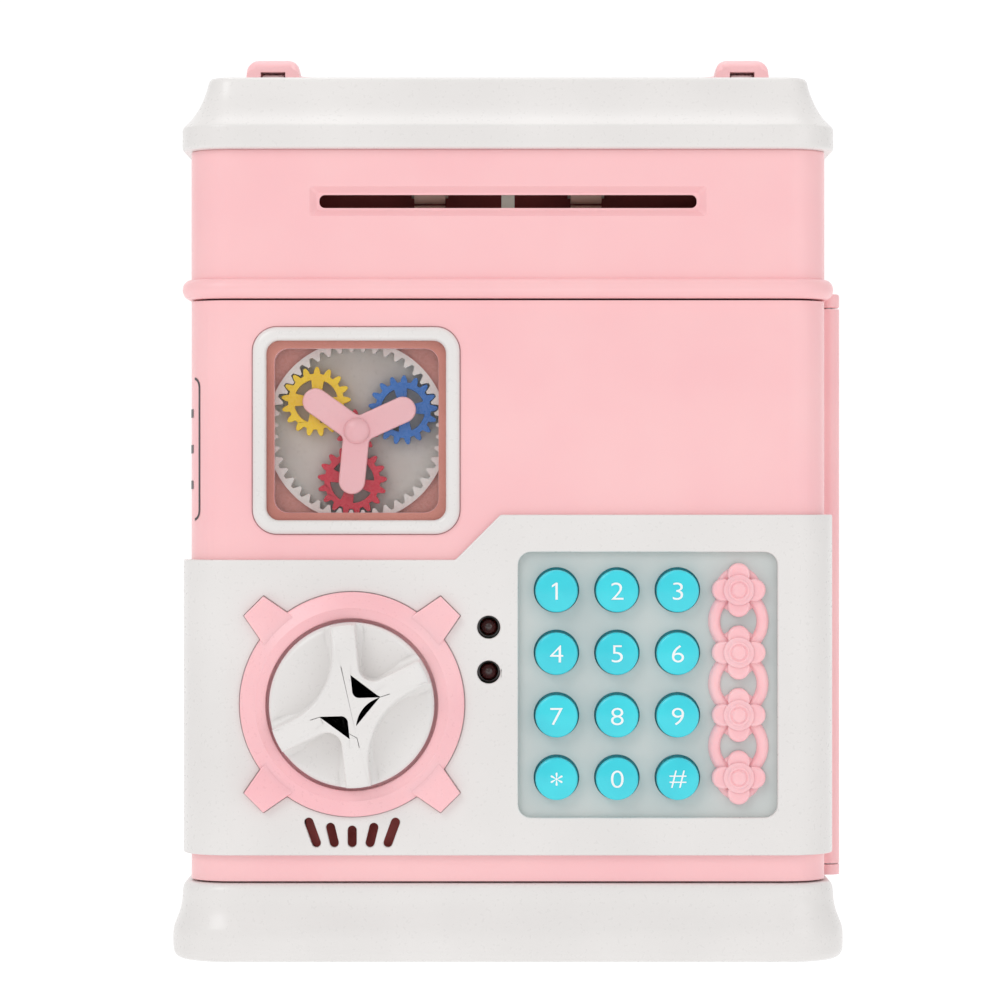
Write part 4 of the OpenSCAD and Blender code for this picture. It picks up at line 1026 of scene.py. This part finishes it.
@dataclass
class Door:
    """Door shell, control fascia, window and the printed panel on the door's left side."""

    window: tuple[float, float] = (-32.3, 112.8)
    frame_w: float = 44.0
    frame_r: float = 5.2
    panel_low: float = 93.6
    panel_high: float = 124.2
    panel_back: float = -41.0

    def window_frame(self) -> bpy.types.Object:
        """Window frame: a crowned profile carried round a rounded square.

        Returns:
            The window frame.
        """
        crown = smooth_path(
            [(0.0, 0.5), (0.0, -0.35), (0.25, -0.85), (0.85, -1.25), (1.7, -1.4), (2.35, -1.3),
             (2.75, -0.95), (2.9, -0.5), (2.9, 0.9)],
            5,
        )
        side = self.frame_w - 2 * crown[:, 0]
        radius = np.maximum(self.frame_r - 0.85 * crown[:, 0], 0.5)
        flat = rounded_outline(side, side, radius, 20) + np.array(self.window)
        grid = placed(flat, FRONT_Y + crown[:, 1:2])
        return Skin.empty().add_grid(grid, wrap_rows=True).build("window_frame_moulding")

    def gasket(self) -> bpy.types.Object:
        """Thin salmon band behind the pane, a flat square ring on the pocket's ledge; its salmon is painted
        shade, the pink wall of the window's recess in shadow.

        Returns:
            The band.
        """
        side, radius = np.array([38.6, 38.6, 35.1, 35.1]), np.array([2.6, 2.6, 3.0, 3.0])
        flat = rounded_outline(side, side, radius, 12) + np.array(self.window)
        level = FRONT_Y + np.array([1.19, 1.09, 1.09, 1.19])
        return Skin.empty().add_grid(placed(flat, level[:, None]), wrap_rows=True).build("window_gasket")

    def wrap(self, run: Array, height: Array, off: float) -> Array:
        """Lays flat points on the door's left side: run is measured forwards from the back.

        The way goes straight along the side, then round the corner's arc.

        Args:
            run: Distance of each point forwards from the panel's back edge.
            height: Height of each point.
            off: Distance that the points stand off the door.

        Returns:
            The points as (..., 3).
        """
        bend_y = FRONT_Y + CORNER_R
        ahead = self.panel_back - bend_y
        over = np.clip((run - ahead) / CORNER_R, 0, np.pi / 2)
        x = -BODY_W / 2 + CORNER_R - (CORNER_R + off) * np.cos(over)
        y = np.where(run < ahead, self.panel_back - run, bend_y - (CORNER_R + off) * np.sin(over))
        return np.stack([x, y, height], axis=-1)

    def printed_panel(self) -> bpy.types.Object:
        """Printed outline and three plain bars, laid on the door's side and corner.

        Returns:
            The panel.
        """
        low, high = self.panel_low, self.panel_high
        width = self.panel_back - FRONT_Y - CORNER_R + math.radians(42) * CORNER_R
        skin = Skin.empty()
        inset = np.array([0.0, 0.55])
        flat = rounded_outline(width - 2 * inset, high - low - 2 * inset, 2.2 - inset, 10)
        flat = flat + np.array([width / 2, (low + high) / 2])
        skin.add_grid(self.wrap(flat[..., 0], flat[..., 1], 0.06), wrap_cols=True)
        run = np.linspace(3.0, width - 3.0, 16)
        for k in range(3):
            mid = low + (high - low) * (0.25 + 0.25 * k)
            bar = np.stack([np.stack([run, np.full_like(run, mid + d)], axis=-1) for d in (-0.9, 0.9)])
            skin.add_grid(self.wrap(bar[..., 0], bar[..., 1], 0.06), wrap_cols=False)
        return skin.build("printed_side_panel")

    def build(self, frame: dict, looks: dict) -> None:
        """Builds and dresses the door's pieces.

        Args:
            looks: Each material by its name.
        """
        pink, white = looks["pink_abs_moulded"], looks["white_abs_moulded"]
        shell = recast(frame, "door_shell", "door_moulding", 0.0)
        sides = self.frame_w + np.array([0.44, -1.4])
        corners = self.frame_r + np.array([0.22, -0.7])
        outer, inner = rounded_outline(sides, sides, corners, 20) + np.array(self.window)
        cut_seam(shell, outer, inner, FRONT_Y, 0.6)
        finish_piece(shell, Body.DOOR, Slot.PINK, pink, "door_shell")
        cover = recast(frame, "door_inner_cover", "door_back_panel", 0.25)
        finish_piece(cover, Body.DOOR, Slot.PINK, pink, "door_inner_cover")
        panel = recast(frame, "fascia", "control_fascia", 0.35)
        cut_seam(panel, Dial().bezel_outline(0.2), Dial().bezel_outline(-0.6), FASCIA_Y, 0.6)
        finish_piece(panel, Body.DOOR, Slot.WHITE, white, "fascia")
        latch = recast(frame, "latch_cover", "latch_guard", 0.3)
        finish_piece(latch, Body.DOOR, Slot.WHITE, white, "latch_cover")
        finish_piece(self.window_frame(), Body.DOOR, Slot.WHITE, white, "window_frame")
        # the salmon band behind the pane is painted shade of the window's recess
        finish_piece(self.gasket(), Body.DOOR, Slot.PINK, looks["salmon_window_gasket"])
        finish_piece(self.printed_panel(), Body.DOOR, Slot.BLACK, looks["grey_pad_print"])
        frame["nodes"]["window_lens"].data.materials.clear()
        frame["nodes"]["window_lens"].data.materials.append(clear_pane())


# ---------------------------------------------------------------- gear window


@dataclass
class GearTrain:
    """Three-armed carrier and the rounded planet gears behind the window."""

    middle: tuple[float, float] = (-32.3, 112.8)
    reach: float = 10.8
    arm_r: float = 2.8
    fillet: float = 1.4
    first_arm: float = 24.5
    arm_back: float = -54.3
    arm_front: float = -55.9
    dome_h: float = 1.5

    def carrier(self) -> bpy.types.Object:
        """Carrier: three round-ended arms joined by small fillets, with a domed hub.

        Returns:
            The carrier, with the pins of its planets.
        """
        runs = []
        far = (self.arm_r + self.fillet) / math.sin(math.radians(60))
        for k in range(3):
            a = self.first_arm + 120 * k
            tip = self.reach * np.array([math.cos(math.radians(a)), math.sin(math.radians(a))])
            bend = far * np.array([math.cos(math.radians(a + 60)), math.sin(math.radians(a + 60))])
            runs.append(arc_points(tip, self.arm_r, a - 90, a + 90, 20))
            runs.append(arc_points(bend, self.fillet, a + 270, a + 210, 8))
        outline = np.vstack(runs) + np.array(self.middle)
        skin = Skin.empty()
        skin.add_grid(plate_grid(outline, round_edge(0.45, self.arm_back, self.arm_front)), caps="ab")
        turn = np.linspace(0.02, np.pi / 2, 12)[::-1]
        dome = np.stack([self.arm_r * np.sin(turn), self.arm_front - self.dome_h * np.cos(turn)], axis=-1)
        skin.add_grid(turned(np.vstack([[self.arm_r, self.arm_front + 0.8], dome]), self.middle), caps="ab")
        for k in range(3):
            a = math.radians(self.first_arm + 120 * k)
            pin = (self.middle[0] + self.reach * math.cos(a), self.middle[1] + self.reach * math.sin(a))
            post = np.array([[1.2, self.arm_back - 0.5], [1.2, self.arm_back + 3.0]])
            skin.add_grid(turned(post, pin, steps=24), caps="ab")
        return skin.build("gear_spider")

    def build(self, frame: dict, looks: dict) -> None:
        """Builds and dresses the carrier and the planets.

        Args:
            looks: Each material by its name.
        """
        finish_piece(self.carrier(), Body.CARRIER, Slot.PINK, looks["deep_pink_abs_moulded"], "gear_carrier")
        for hue in ("yellow", "blue", "red"):
            gear = recast(frame, f"planet_{hue}", f"{hue}_planet_gear", 0.14, 2)
            finish_piece(gear, f"planet_{hue}", f"{hue}_gear", looks[f"{hue}_acetal_gear"], f"planet_{hue}")


# ---------------------------------------------------------------- dial


@dataclass
class Dial:
    """White dial with a raised cross to grip, and the pink bezel round it."""

    centre: tuple[float, float] = (-33.1, 54.65)
    radius: float = 17.5
    out: float = 11.8
    hole_r: float = 18.25
    bezel_r: float = 23.84
    band_r: float = 20.5
    first_arm: float = 25.3
    gap: float = 70.5
    arm_half: float = 2.6
    narrow_r: float = 3.0
    wide_r: float = 16.0
    cross_r: float = 17.2
    foot: float = 4.9
    foot_fillet: float = 1.5
    top_round: float = 0.7
    fall: float = 2.2
    fall_from: float = 9.0
    fall_run: float = 8.2
    tab: tuple[tuple[float, float], tuple[float, float]] = ((20.9, 4.5), (29.5, 2.9))

    def cross_outline(self) -> Array:
        """Outline of the cross: four arm ends on a circle, joined by two narrow and two wide arcs.

        Each arc is tangent to the sides of the arms on both sides of it.

        Returns:
            The outline about the dial's own middle, counter-clockwise.
        """
        spans = [(0.0, self.gap, self.narrow_r), (self.gap, 180.0, self.wide_r)]
        spans = spans + [(a + 180, b + 180, r) for a, b, r in spans]
        spread = math.degrees(math.asin(self.arm_half / self.cross_r))
        runs = []
        for a, b, r in spans:
            a, b = a + self.first_arm, b + self.first_arm
            mid, half = math.radians((a + b) / 2), math.radians((b - a) / 2)
            far = (r + self.arm_half) / math.sin(half)
            pivot = far * np.array([math.cos(mid), math.sin(mid)])
            tip = arc_points((0, 0), self.cross_r, a - spread, a + spread, 10)
            bend = arc_points(pivot, r, a + 270, b + 90, 28)
            reach = np.linspace(0, 1, 12)[1:-1, None]
            runs += [tip, tip[-1] + (bend[0] - tip[-1]) * reach, bend]
            end = arc_points((0, 0), self.cross_r, b - spread, b - spread, 0)
            runs.append(bend[-1] + (end[0] - bend[-1]) * reach)
        return np.vstack(runs)

    def knob(self) -> bpy.types.Object:
        """Dial: a shallow dished disc under a cross whose walls flare into it.

        The cross is its outline carried up a profile: a hollow fillet at the foot, a wall,
        and a rounded top edge; the arms fall away towards the rim. The inset for the top
        edge crosses itself at the sharp corners of the arm ends, and this leaves three
        holes and thin creases in the flat top.

        Returns:
            The dial.
        """
        base = smooth_path(
            [(self.radius, 0.3), (self.radius, -2.8), (self.radius - 0.2, -3.6), (self.radius - 0.8, -4.2),
             (self.radius - 2.2, -4.5), (12.0, -4.9), (6.0, -5.4), (0.05, -5.6)],
            6,
        )
        skin = Skin.empty()
        disc = turned(np.stack([base[:, 0], FASCIA_Y + base[:, 1]], axis=-1), self.centre, steps=128)
        skin.add_grid(disc, caps="ab")
        outline = self.cross_outline()
        height = self.out - self.foot
        turn = np.linspace(0, np.pi / 2, 7)
        r, top_r = self.foot_fillet, self.top_round
        flare = np.stack([r * (1 - np.sin(turn)), r * (1 - np.cos(turn)) - 0.2], axis=-1)
        over = np.stack([top_r * (np.cos(turn) - 1), height - top_r + top_r * np.sin(turn)], axis=-1)
        rise = np.vstack([flare, over])
        flat = outline[None] + rise[:, None, :1] * outward(outline)[None]
        far = np.hypot(flat[..., 0], flat[..., 1])
        flat = flat * (np.minimum(far, self.radius - 0.12) / far)[..., None]
        top = flat[-1] * np.linspace(1, 0.4, 20)[1:, None, None]
        rings = np.concatenate([flat, top])
        up = np.concatenate([rise[:, 1], np.full(len(top), height)])[:, None]
        past = (np.hypot(rings[..., 0], rings[..., 1]) - self.fall_from) / self.fall_run
        up = up - self.fall * np.clip(past, 0, 1) ** 2 * up / height
        skin.add_grid(placed(rings + np.array(self.centre), FASCIA_Y - self.foot - up), caps="b")
        return skin.build("dial_grip", 50.0)

    def bezel_outline(self, grow: float) -> Array:
        """Outline of the bezel, a circle with four tabs, grown outwards by a distance.

        Args:
            grow: Distance that the outline is grown by.

        Returns:
            The outline, in X and Z.
        """
        angle = np.linspace(0, 2 * np.pi, 721)[:-1]
        off = np.abs(angle % (np.pi / 2) - np.pi / 4)
        (x0, y0), (x1, y1) = self.tab
        y0, y1, x1 = y0 + grow, y1 + grow, x1 + grow
        slope = (y0 - y1) / (x1 - x0)
        side = (y0 + slope * x0) / (np.tan(off) + slope) / np.cos(off)
        reach = np.maximum(np.minimum(side, x1 / np.cos(off)), self.bezel_r + grow)
        flat = np.stack([reach * np.cos(angle), reach * np.sin(angle)], axis=-1)
        return flat + np.array(self.centre)

    def bezel(self) -> bpy.types.Object:
        """Bezel: a ring with a sloping outer band, four flared tabs and a thin lip under the dial.

        Returns:
            The bezel.
        """
        ring = smooth_path(
            [(16.9, 0.6), (16.9, -0.1), (17.0, -0.14), (self.hole_r - 0.1, -0.14), (self.hole_r, -0.3),
             (self.hole_r, -2.0), (self.hole_r + 0.35, -2.45), (self.band_r - 0.3, -2.5),
             (self.band_r + 0.2, -2.42), (self.bezel_r - 0.7, -1.3), (self.bezel_r - 0.15, -1.0),
             (self.bezel_r, -0.7), (self.bezel_r, 0.6)],
            5,
        )
        skin = Skin.empty()
        grid = turned(np.stack([ring[:, 0], FASCIA_Y + ring[:, 1]], axis=-1), self.centre, steps=160)
        skin.add_grid(grid, wrap_rows=True)
        (x0, y0), (x1, y1) = self.tab
        tab = np.array([[x0, -y0], [x1, -y1], [x1, y1], [x0, y0]])
        steps = np.linspace(0, 1, 9)[:-1]
        filled = [tab[i] + (tab[(i + 1) % 4] - tab[i]) * t for i in range(4) for t in steps]
        for k in range(4):
            a = math.radians(45 + 90 * k)
            turn = np.array([[math.cos(a), math.sin(a)], [-math.sin(a), math.cos(a)]])
            outline = np.array(filled) @ turn + np.array(self.centre)
            skin.add_grid(plate_grid(outline, round_edge(0.3, FASCIA_Y + 0.6, FASCIA_Y - 1.7)), caps="ab")
        return skin.build("dial_bezel", 50.0)

    def build(self, looks: dict) -> None:
        """Builds and dresses the dial and its bezel.

        Args:
            looks: Each material by its name.
        """
        finish_piece(self.knob(), Body.DIAL, Slot.WHITE, looks["white_abs_moulded"], "dial_knob")
        finish_piece(self.bezel(), Body.DOOR, Slot.PINK, looks["deep_pink_abs_moulded"], "knob_bezel")


# ---------------------------------------------------------------- keypad


@dataclass
class Keypad:
    """Twelve domed keys with printed characters, and the flower chain beside them."""

    middle: tuple[float, float] = (29.7, 58.76)
    pitch: tuple[float, float] = (12.86, 13.28)
    key_r: float = 4.5
    key_front: float = -62.3
    sag: float = 0.2
    crown: float = 0.45
    hem: float = 0.55
    flange_r: float = 5.6
    flower_x: float = 49.0
    petal_away: float = 3.35
    petal_r: float = 2.4
    bar_half: float = 1.3
    letter_h: float = 5.4

    def place(self, column: int, row: int) -> tuple[float, float]:
        """Middle of the key hole in a column and row, as X and Z.

        Args:
            column: Column of the key, from the left.
            row: Row of the key, from the top.

        Returns:
            The middle of its hole.
        """
        x = self.middle[0] - 6.55 + (column - 1) * self.pitch[0]
        return x, self.middle[1] + 0.2 + (1.5 - row) * self.pitch[1]

    def crown_depth(self, away: Array) -> Array:
        """Depth of the key's face at a distance from its middle: a shallow parabola."""
        return self.key_front + self.crown * (away / self.key_r) ** 2

    def key(self, name: str, centre: tuple[float, float]) -> bpy.types.Object:
        """One key: a crowned cap turned about its axis, with a flange behind.

        Args:
            name: The key's node.
            centre: Middle of the key, in X and Z.

        Returns:
            The key.
        """
        hem, flange = self.hem, self.flange_r
        away = np.linspace(0.03, self.key_r - hem, 12)
        face = np.stack([away, self.crown_depth(away)], axis=-1)
        rim = face[-1, 1]
        turn = np.linspace(0.2, np.pi / 2, 7)
        edge = np.stack(
            [self.key_r - hem + hem * np.sin(turn), rim + hem * (1 - np.cos(turn))], axis=-1
        )
        back = np.array([[self.key_r, -57.3], [flange, -57.2], [flange, -56.2], [2.0, -56.1], [2.0, -55.0]])
        grid = turned(np.vstack([face, edge, back]), centre, steps=64)
        return Skin.empty().add_grid(grid, caps="ab").build(f"{name}_cap")

    def letter(self, name: str, sign: str, centre: tuple[float, float]) -> bpy.types.Object:
        """One printed character, made a mesh and laid on the key's crown.

        Args:
            name: The key's node.
            sign: The character.
            centre: Middle of the key, in X and Z.

        Returns:
            The print.
        """
        curve = bpy.data.curves.new(f"{name}_sign", "FONT")
        curve.body, curve.size = sign, self.letter_h * MM
        curve.align_x, curve.align_y = "CENTER", "CENTER"
        curve.extrude, curve.resolution_u = 0.06 * MM, 6
        curve.offset = 0.0 if sign == "*" else -0.055 * MM
        ghost = bpy.data.objects.new(f"{name}_sign", curve)
        bpy.context.scene.collection.objects.link(ghost)
        bpy.context.view_layer.update()
        mesh = bpy.data.meshes.new_from_object(ghost.evaluated_get(bpy.context.evaluated_depsgraph_get()))
        bpy.data.objects.remove(ghost)
        points = np.zeros(len(mesh.vertices) * 3)
        mesh.vertices.foreach_get("co", points)
        points = points.reshape(-1, 3)
        middle = (points.min(0) + points.max(0)) / 2
        flat = (points - middle)[:, :2] * np.array([1.18, 1.0])
        if sign == "*":
            flat = flat * np.array([1.0, 1.15])
        depth = self.key_front * MM + np.where(points[:, 2] > 0, -0.03, 0.14) * MM
        laid = np.stack([flat[:, 0] + centre[0] * MM, depth, flat[:, 1] + centre[1] * MM], axis=-1)
        mesh.vertices.foreach_set("co", laid.ravel())
        if sign == "1":
            self.add_flag(mesh, centre)
        mesh.name = f"{name}_print"
        tidy_mesh(mesh, 30.0)
        piece = bpy.data.objects.new(f"{name}_print", mesh)
        bpy.context.scene.collection.objects.link(piece)
        return piece

    def add_flag(self, mesh: bpy.types.Mesh, centre: tuple[float, float]) -> None:
        """Adds the short slanting stroke at the top of the figure one.

        Args:
            mesh: The figure's mesh, changed in place.
            centre: Middle of the key, in X and Z.
        """
        stroke = np.array([[0.0, 1.9], [-1.0, 1.25], [-1.0, 0.8], [0.0, 1.42]]) + np.array(centre)
        work = bmesh.new()
        work.from_mesh(mesh)
        front = [work.verts.new((x * MM, (self.key_front - 0.045) * MM, z * MM)) for x, z in stroke]
        rear = [work.verts.new((x * MM, (self.key_front + 0.14) * MM, z * MM)) for x, z in stroke]
        work.faces.new(front)
        work.faces.new(rear[::-1])
        for i in range(4):
            work.faces.new((front[i], rear[i], rear[(i + 1) % 4], front[(i + 1) % 4]))
        work.to_mesh(mesh)
        work.free()

    def flower(self, skin: Skin, z: float) -> None:
        """Adds one flower: four round petals under a stepped, domed boss.

        A petal ring's radius is where a ray from the middle leaves a round lobe; the skin
        rises from the plate over a soft edge to a face that sinks towards the boss.

        Args:
            skin: Skin that the flower is added to.
            z: Height of its middle.
        """
        angle = np.linspace(0, 2 * np.pi, 161)[:-1]
        off = (angle + np.pi / 4) % (np.pi / 2) - np.pi / 4
        d, r = self.petal_away, self.petal_r
        edge = d * np.cos(off) + np.sqrt(np.maximum(r**2 - (d * np.sin(off)) ** 2, 0))
        rise = smooth_path(
            [(1.0, 0.1), (1.0, 1.1), (0.985, 1.6), (0.94, 1.9), (0.86, 2.05), (0.75, 2.0),
             (0.6, 1.9), (0.4, 1.9)],
            4,
        )
        away = edge[None] * rise[:, :1]
        flat = np.stack([away * np.cos(angle), away * np.sin(angle)], axis=-1)
        flat = flat + np.array([self.flower_x, z])
        skin.add_grid(placed(flat, FRONT_Y - rise[:, 1:2]), caps="b")
        boss = smooth_path(
            [(3.3, 1.6), (3.26, 2.2), (3.05, 2.42), (2.7, 2.42), (2.5, 2.42), (2.35, 2.5), (2.15, 2.72),
             (1.9, 2.72), (1.7, 2.55), (1.5, 2.7), (1.3, 2.95), (0.8, 3.1), (0.03, 3.15)],
            4,
        )
        profile = np.stack([boss[:, 0], FRONT_Y - boss[:, 1]], axis=-1)
        skin.add_grid(turned(profile, (self.flower_x, z), steps=64), caps="b")

    def chain_bar(self, skin: Skin, half_x: float, half_z: float, z: float, rise: float) -> None:
        """Adds one oval of chain: a half-round bar carried round an ellipse.

        Args:
            skin: Skin that the oval is added to.
            half_x: Half of its width.
            half_z: Half of its height.
            z: Height of its middle.
            rise: How far it stands off the door.
        """
        turn = np.linspace(0, np.pi, 13)
        half = self.bar_half
        bar = np.stack([half * np.cos(turn), FRONT_Y + 0.1 - rise * np.sin(turn)], axis=-1)
        angle = np.linspace(0, 2 * np.pi, 97)[:-1]
        mean = np.stack([(half_x - half) * np.cos(angle), (half_z - half) * np.sin(angle)], axis=-1)
        skin.add_grid(plate_grid(mean + np.array([self.flower_x, z]), bar))

    def chain(self) -> bpy.types.Object:
        """The whole chain: three oval links, and a ring behind each of the four flowers.

        Returns:
            The chain.
        """
        skin = Skin.empty()
        levels = [self.place(0, row)[1] for row in range(4)]
        for top, low in zip(levels, levels[1:]):
            self.chain_bar(skin, 6.45, 7.0, (top + low) / 2, 1.25)
        for z in levels:
            self.chain_bar(skin, 4.95, 4.95, z, 0.7)
            self.flower(skin, z)
        return skin.build("flower_chain_moulding", 60.0)

    def build(self, looks: dict) -> None:
        """Builds and dresses the keys, their print and the chain.

        Args:
            looks: Each material by its name.
        """
        signs = (("1", "2", "3"), ("4", "5", "6"), ("7", "8", "9"), ("*", "0", "#"))
        names = {"*": "star", "#": "hash"}
        for row, line in enumerate(signs):
            for column, sign in enumerate(line):
                node = f"key_{names.get(sign, sign)}"
                x, z = self.place(column, row)
                cap = self.key(node, (x, z - self.sag))
                finish_piece(cap, node, Slot.TEAL, looks["turquoise_abs_moulded"], node)
                mark = self.letter(node, sign, (x, z - self.sag))
                finish_piece(mark, node, Slot.WHITE, looks["white_pad_print"])
        chain = self.chain()
        finish_piece(chain, Body.DOOR, Slot.FLOWER, looks["soft_pink_flower_moulding"], "flower_chain")


# ---------------------------------------------------------------- studio


@dataclass
class Studio:
    """Pale sweep, soft lights and a camera square to the door."""

    eye: tuple[float, float, float] = (-1.6, -909.0, 97.9)
    lens: float = 143.7
    floor_half: float = 2600.0
    bend_y: float = 1500.0
    bend_r: float = 500.0
    wall_h: float = 3200.0

    def backdrop(self) -> None:
        """Floor that curves up into a wall far behind: a flat run, an arc, a straight rise."""
        turn = np.linspace(-np.pi / 2, 0, 17)
        r = self.bend_r
        bend = np.stack([self.bend_y + r * np.cos(turn), r + r * np.sin(turn)], axis=-1)
        run = np.vstack([[-self.floor_half, 0.0], bend, [self.bend_y + r, self.wall_h]])
        grid = np.array([[(x, y, z) for x in (-self.floor_half, self.floor_half)] for y, z in run])
        sweep = Skin.empty().add_grid(grid, wrap_cols=False).build("studio_sweep")
        look = bpy.data.materials.new("white_paper_sweep")
        look.use_nodes = True
        shader = next(n for n in look.node_tree.nodes if n.type == "BSDF_PRINCIPLED")
        shader.inputs["Base Color"].default_value = linear("404040")
        shader.inputs["Roughness"].default_value = 1.0
        shader.inputs["Emission Color"].default_value = linear("FFFFFF")
        shader.inputs["Emission Strength"].default_value = 1.0
        sweep.data.materials.append(look)

    def light(self, name: str, at: tuple[float, float, float], size: float, power: float) -> None:
        """Adds a square soft light that faces the middle of the bank.

        Args:
            name: The light's name.
            at: Its place.
            size: Length of its side.
            power: Its power in watts.
        """
        lamp = bpy.data.lights.new(name, "AREA")
        lamp.shape, lamp.size, lamp.energy = "SQUARE", size * MM, power
        thing = bpy.data.objects.new(name, lamp)
        thing.location = [v * MM for v in at]
        aim = np.array([0.0, 0.0, 100.0]) - np.array(at)
        thing.rotation_euler = Vector(aim).to_track_quat("-Z", "Y").to_euler()
        bpy.context.scene.collection.objects.link(thing)

    def build(self) -> None:
        """Sets up the sweep, the lights, the sky and the camera."""
        scene = bpy.context.scene
        self.backdrop()
        self.light("key_softbox", (-700.0, -1100.0, 1000.0), 700.0, 5.0)
        self.light("fill_softbox", (900.0, -1000.0, 500.0), 900.0, 2.0)
        self.light("top_softbox", (0.0, 100.0, 1300.0), 900.0, 4.0)
        sky = bpy.data.worlds.new("studio_air")
        sky.use_nodes = True
        air = next(n for n in sky.node_tree.nodes if n.type == "BACKGROUND")
        air.inputs["Color"].default_value = (1.0, 1.0, 1.0, 1.0)
        air.inputs["Strength"].default_value = 0.62
        scene.world = sky
        camera = bpy.data.cameras.new("front_camera")
        camera.lens, camera.sensor_width, camera.clip_end = self.lens, 36.0, 20.0
        viewer = bpy.data.objects.new("front_camera", camera)
        viewer.location = [v * MM for v in self.eye]
        viewer.rotation_euler = (math.pi / 2, 0.0, 0.0)
        scene.collection.objects.link(viewer)
        scene.camera = viewer
        scene.view_settings.view_transform = "Standard"


def dress_nodes(frame: dict, looks: dict) -> None:
    """Gives each CAD node that still shows its moulded, metal or rubber finish; the tray, the speaker and
    the lamps get colours with painted shade in them.

    Args:
        looks: Each material by its name.
    """
    for node, look in NODE_LOOKS.items():
        mesh = frame["nodes"][node].data
        mesh.materials.clear()
        mesh.materials.append(looks[look])
        LOG.info("%s keeps its solid, in %s", node, look)


def main() -> None:
    """Builds the bank's looks round the frame, in order."""
    logging.basicConfig(level=logging.INFO, format="%(name)s %(message)s")
    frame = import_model()
    looks = {finish.name: finish.material() for finish in FINISHES}
    Studio().build()
    dress_nodes(frame, looks)
    Cabinet().build(frame, looks)
    Door().build(frame, looks)
    GearTrain().build(frame, looks)
    Dial().build(looks)
    Keypad().build(looks)


if __name__ == "__main__":
    main()
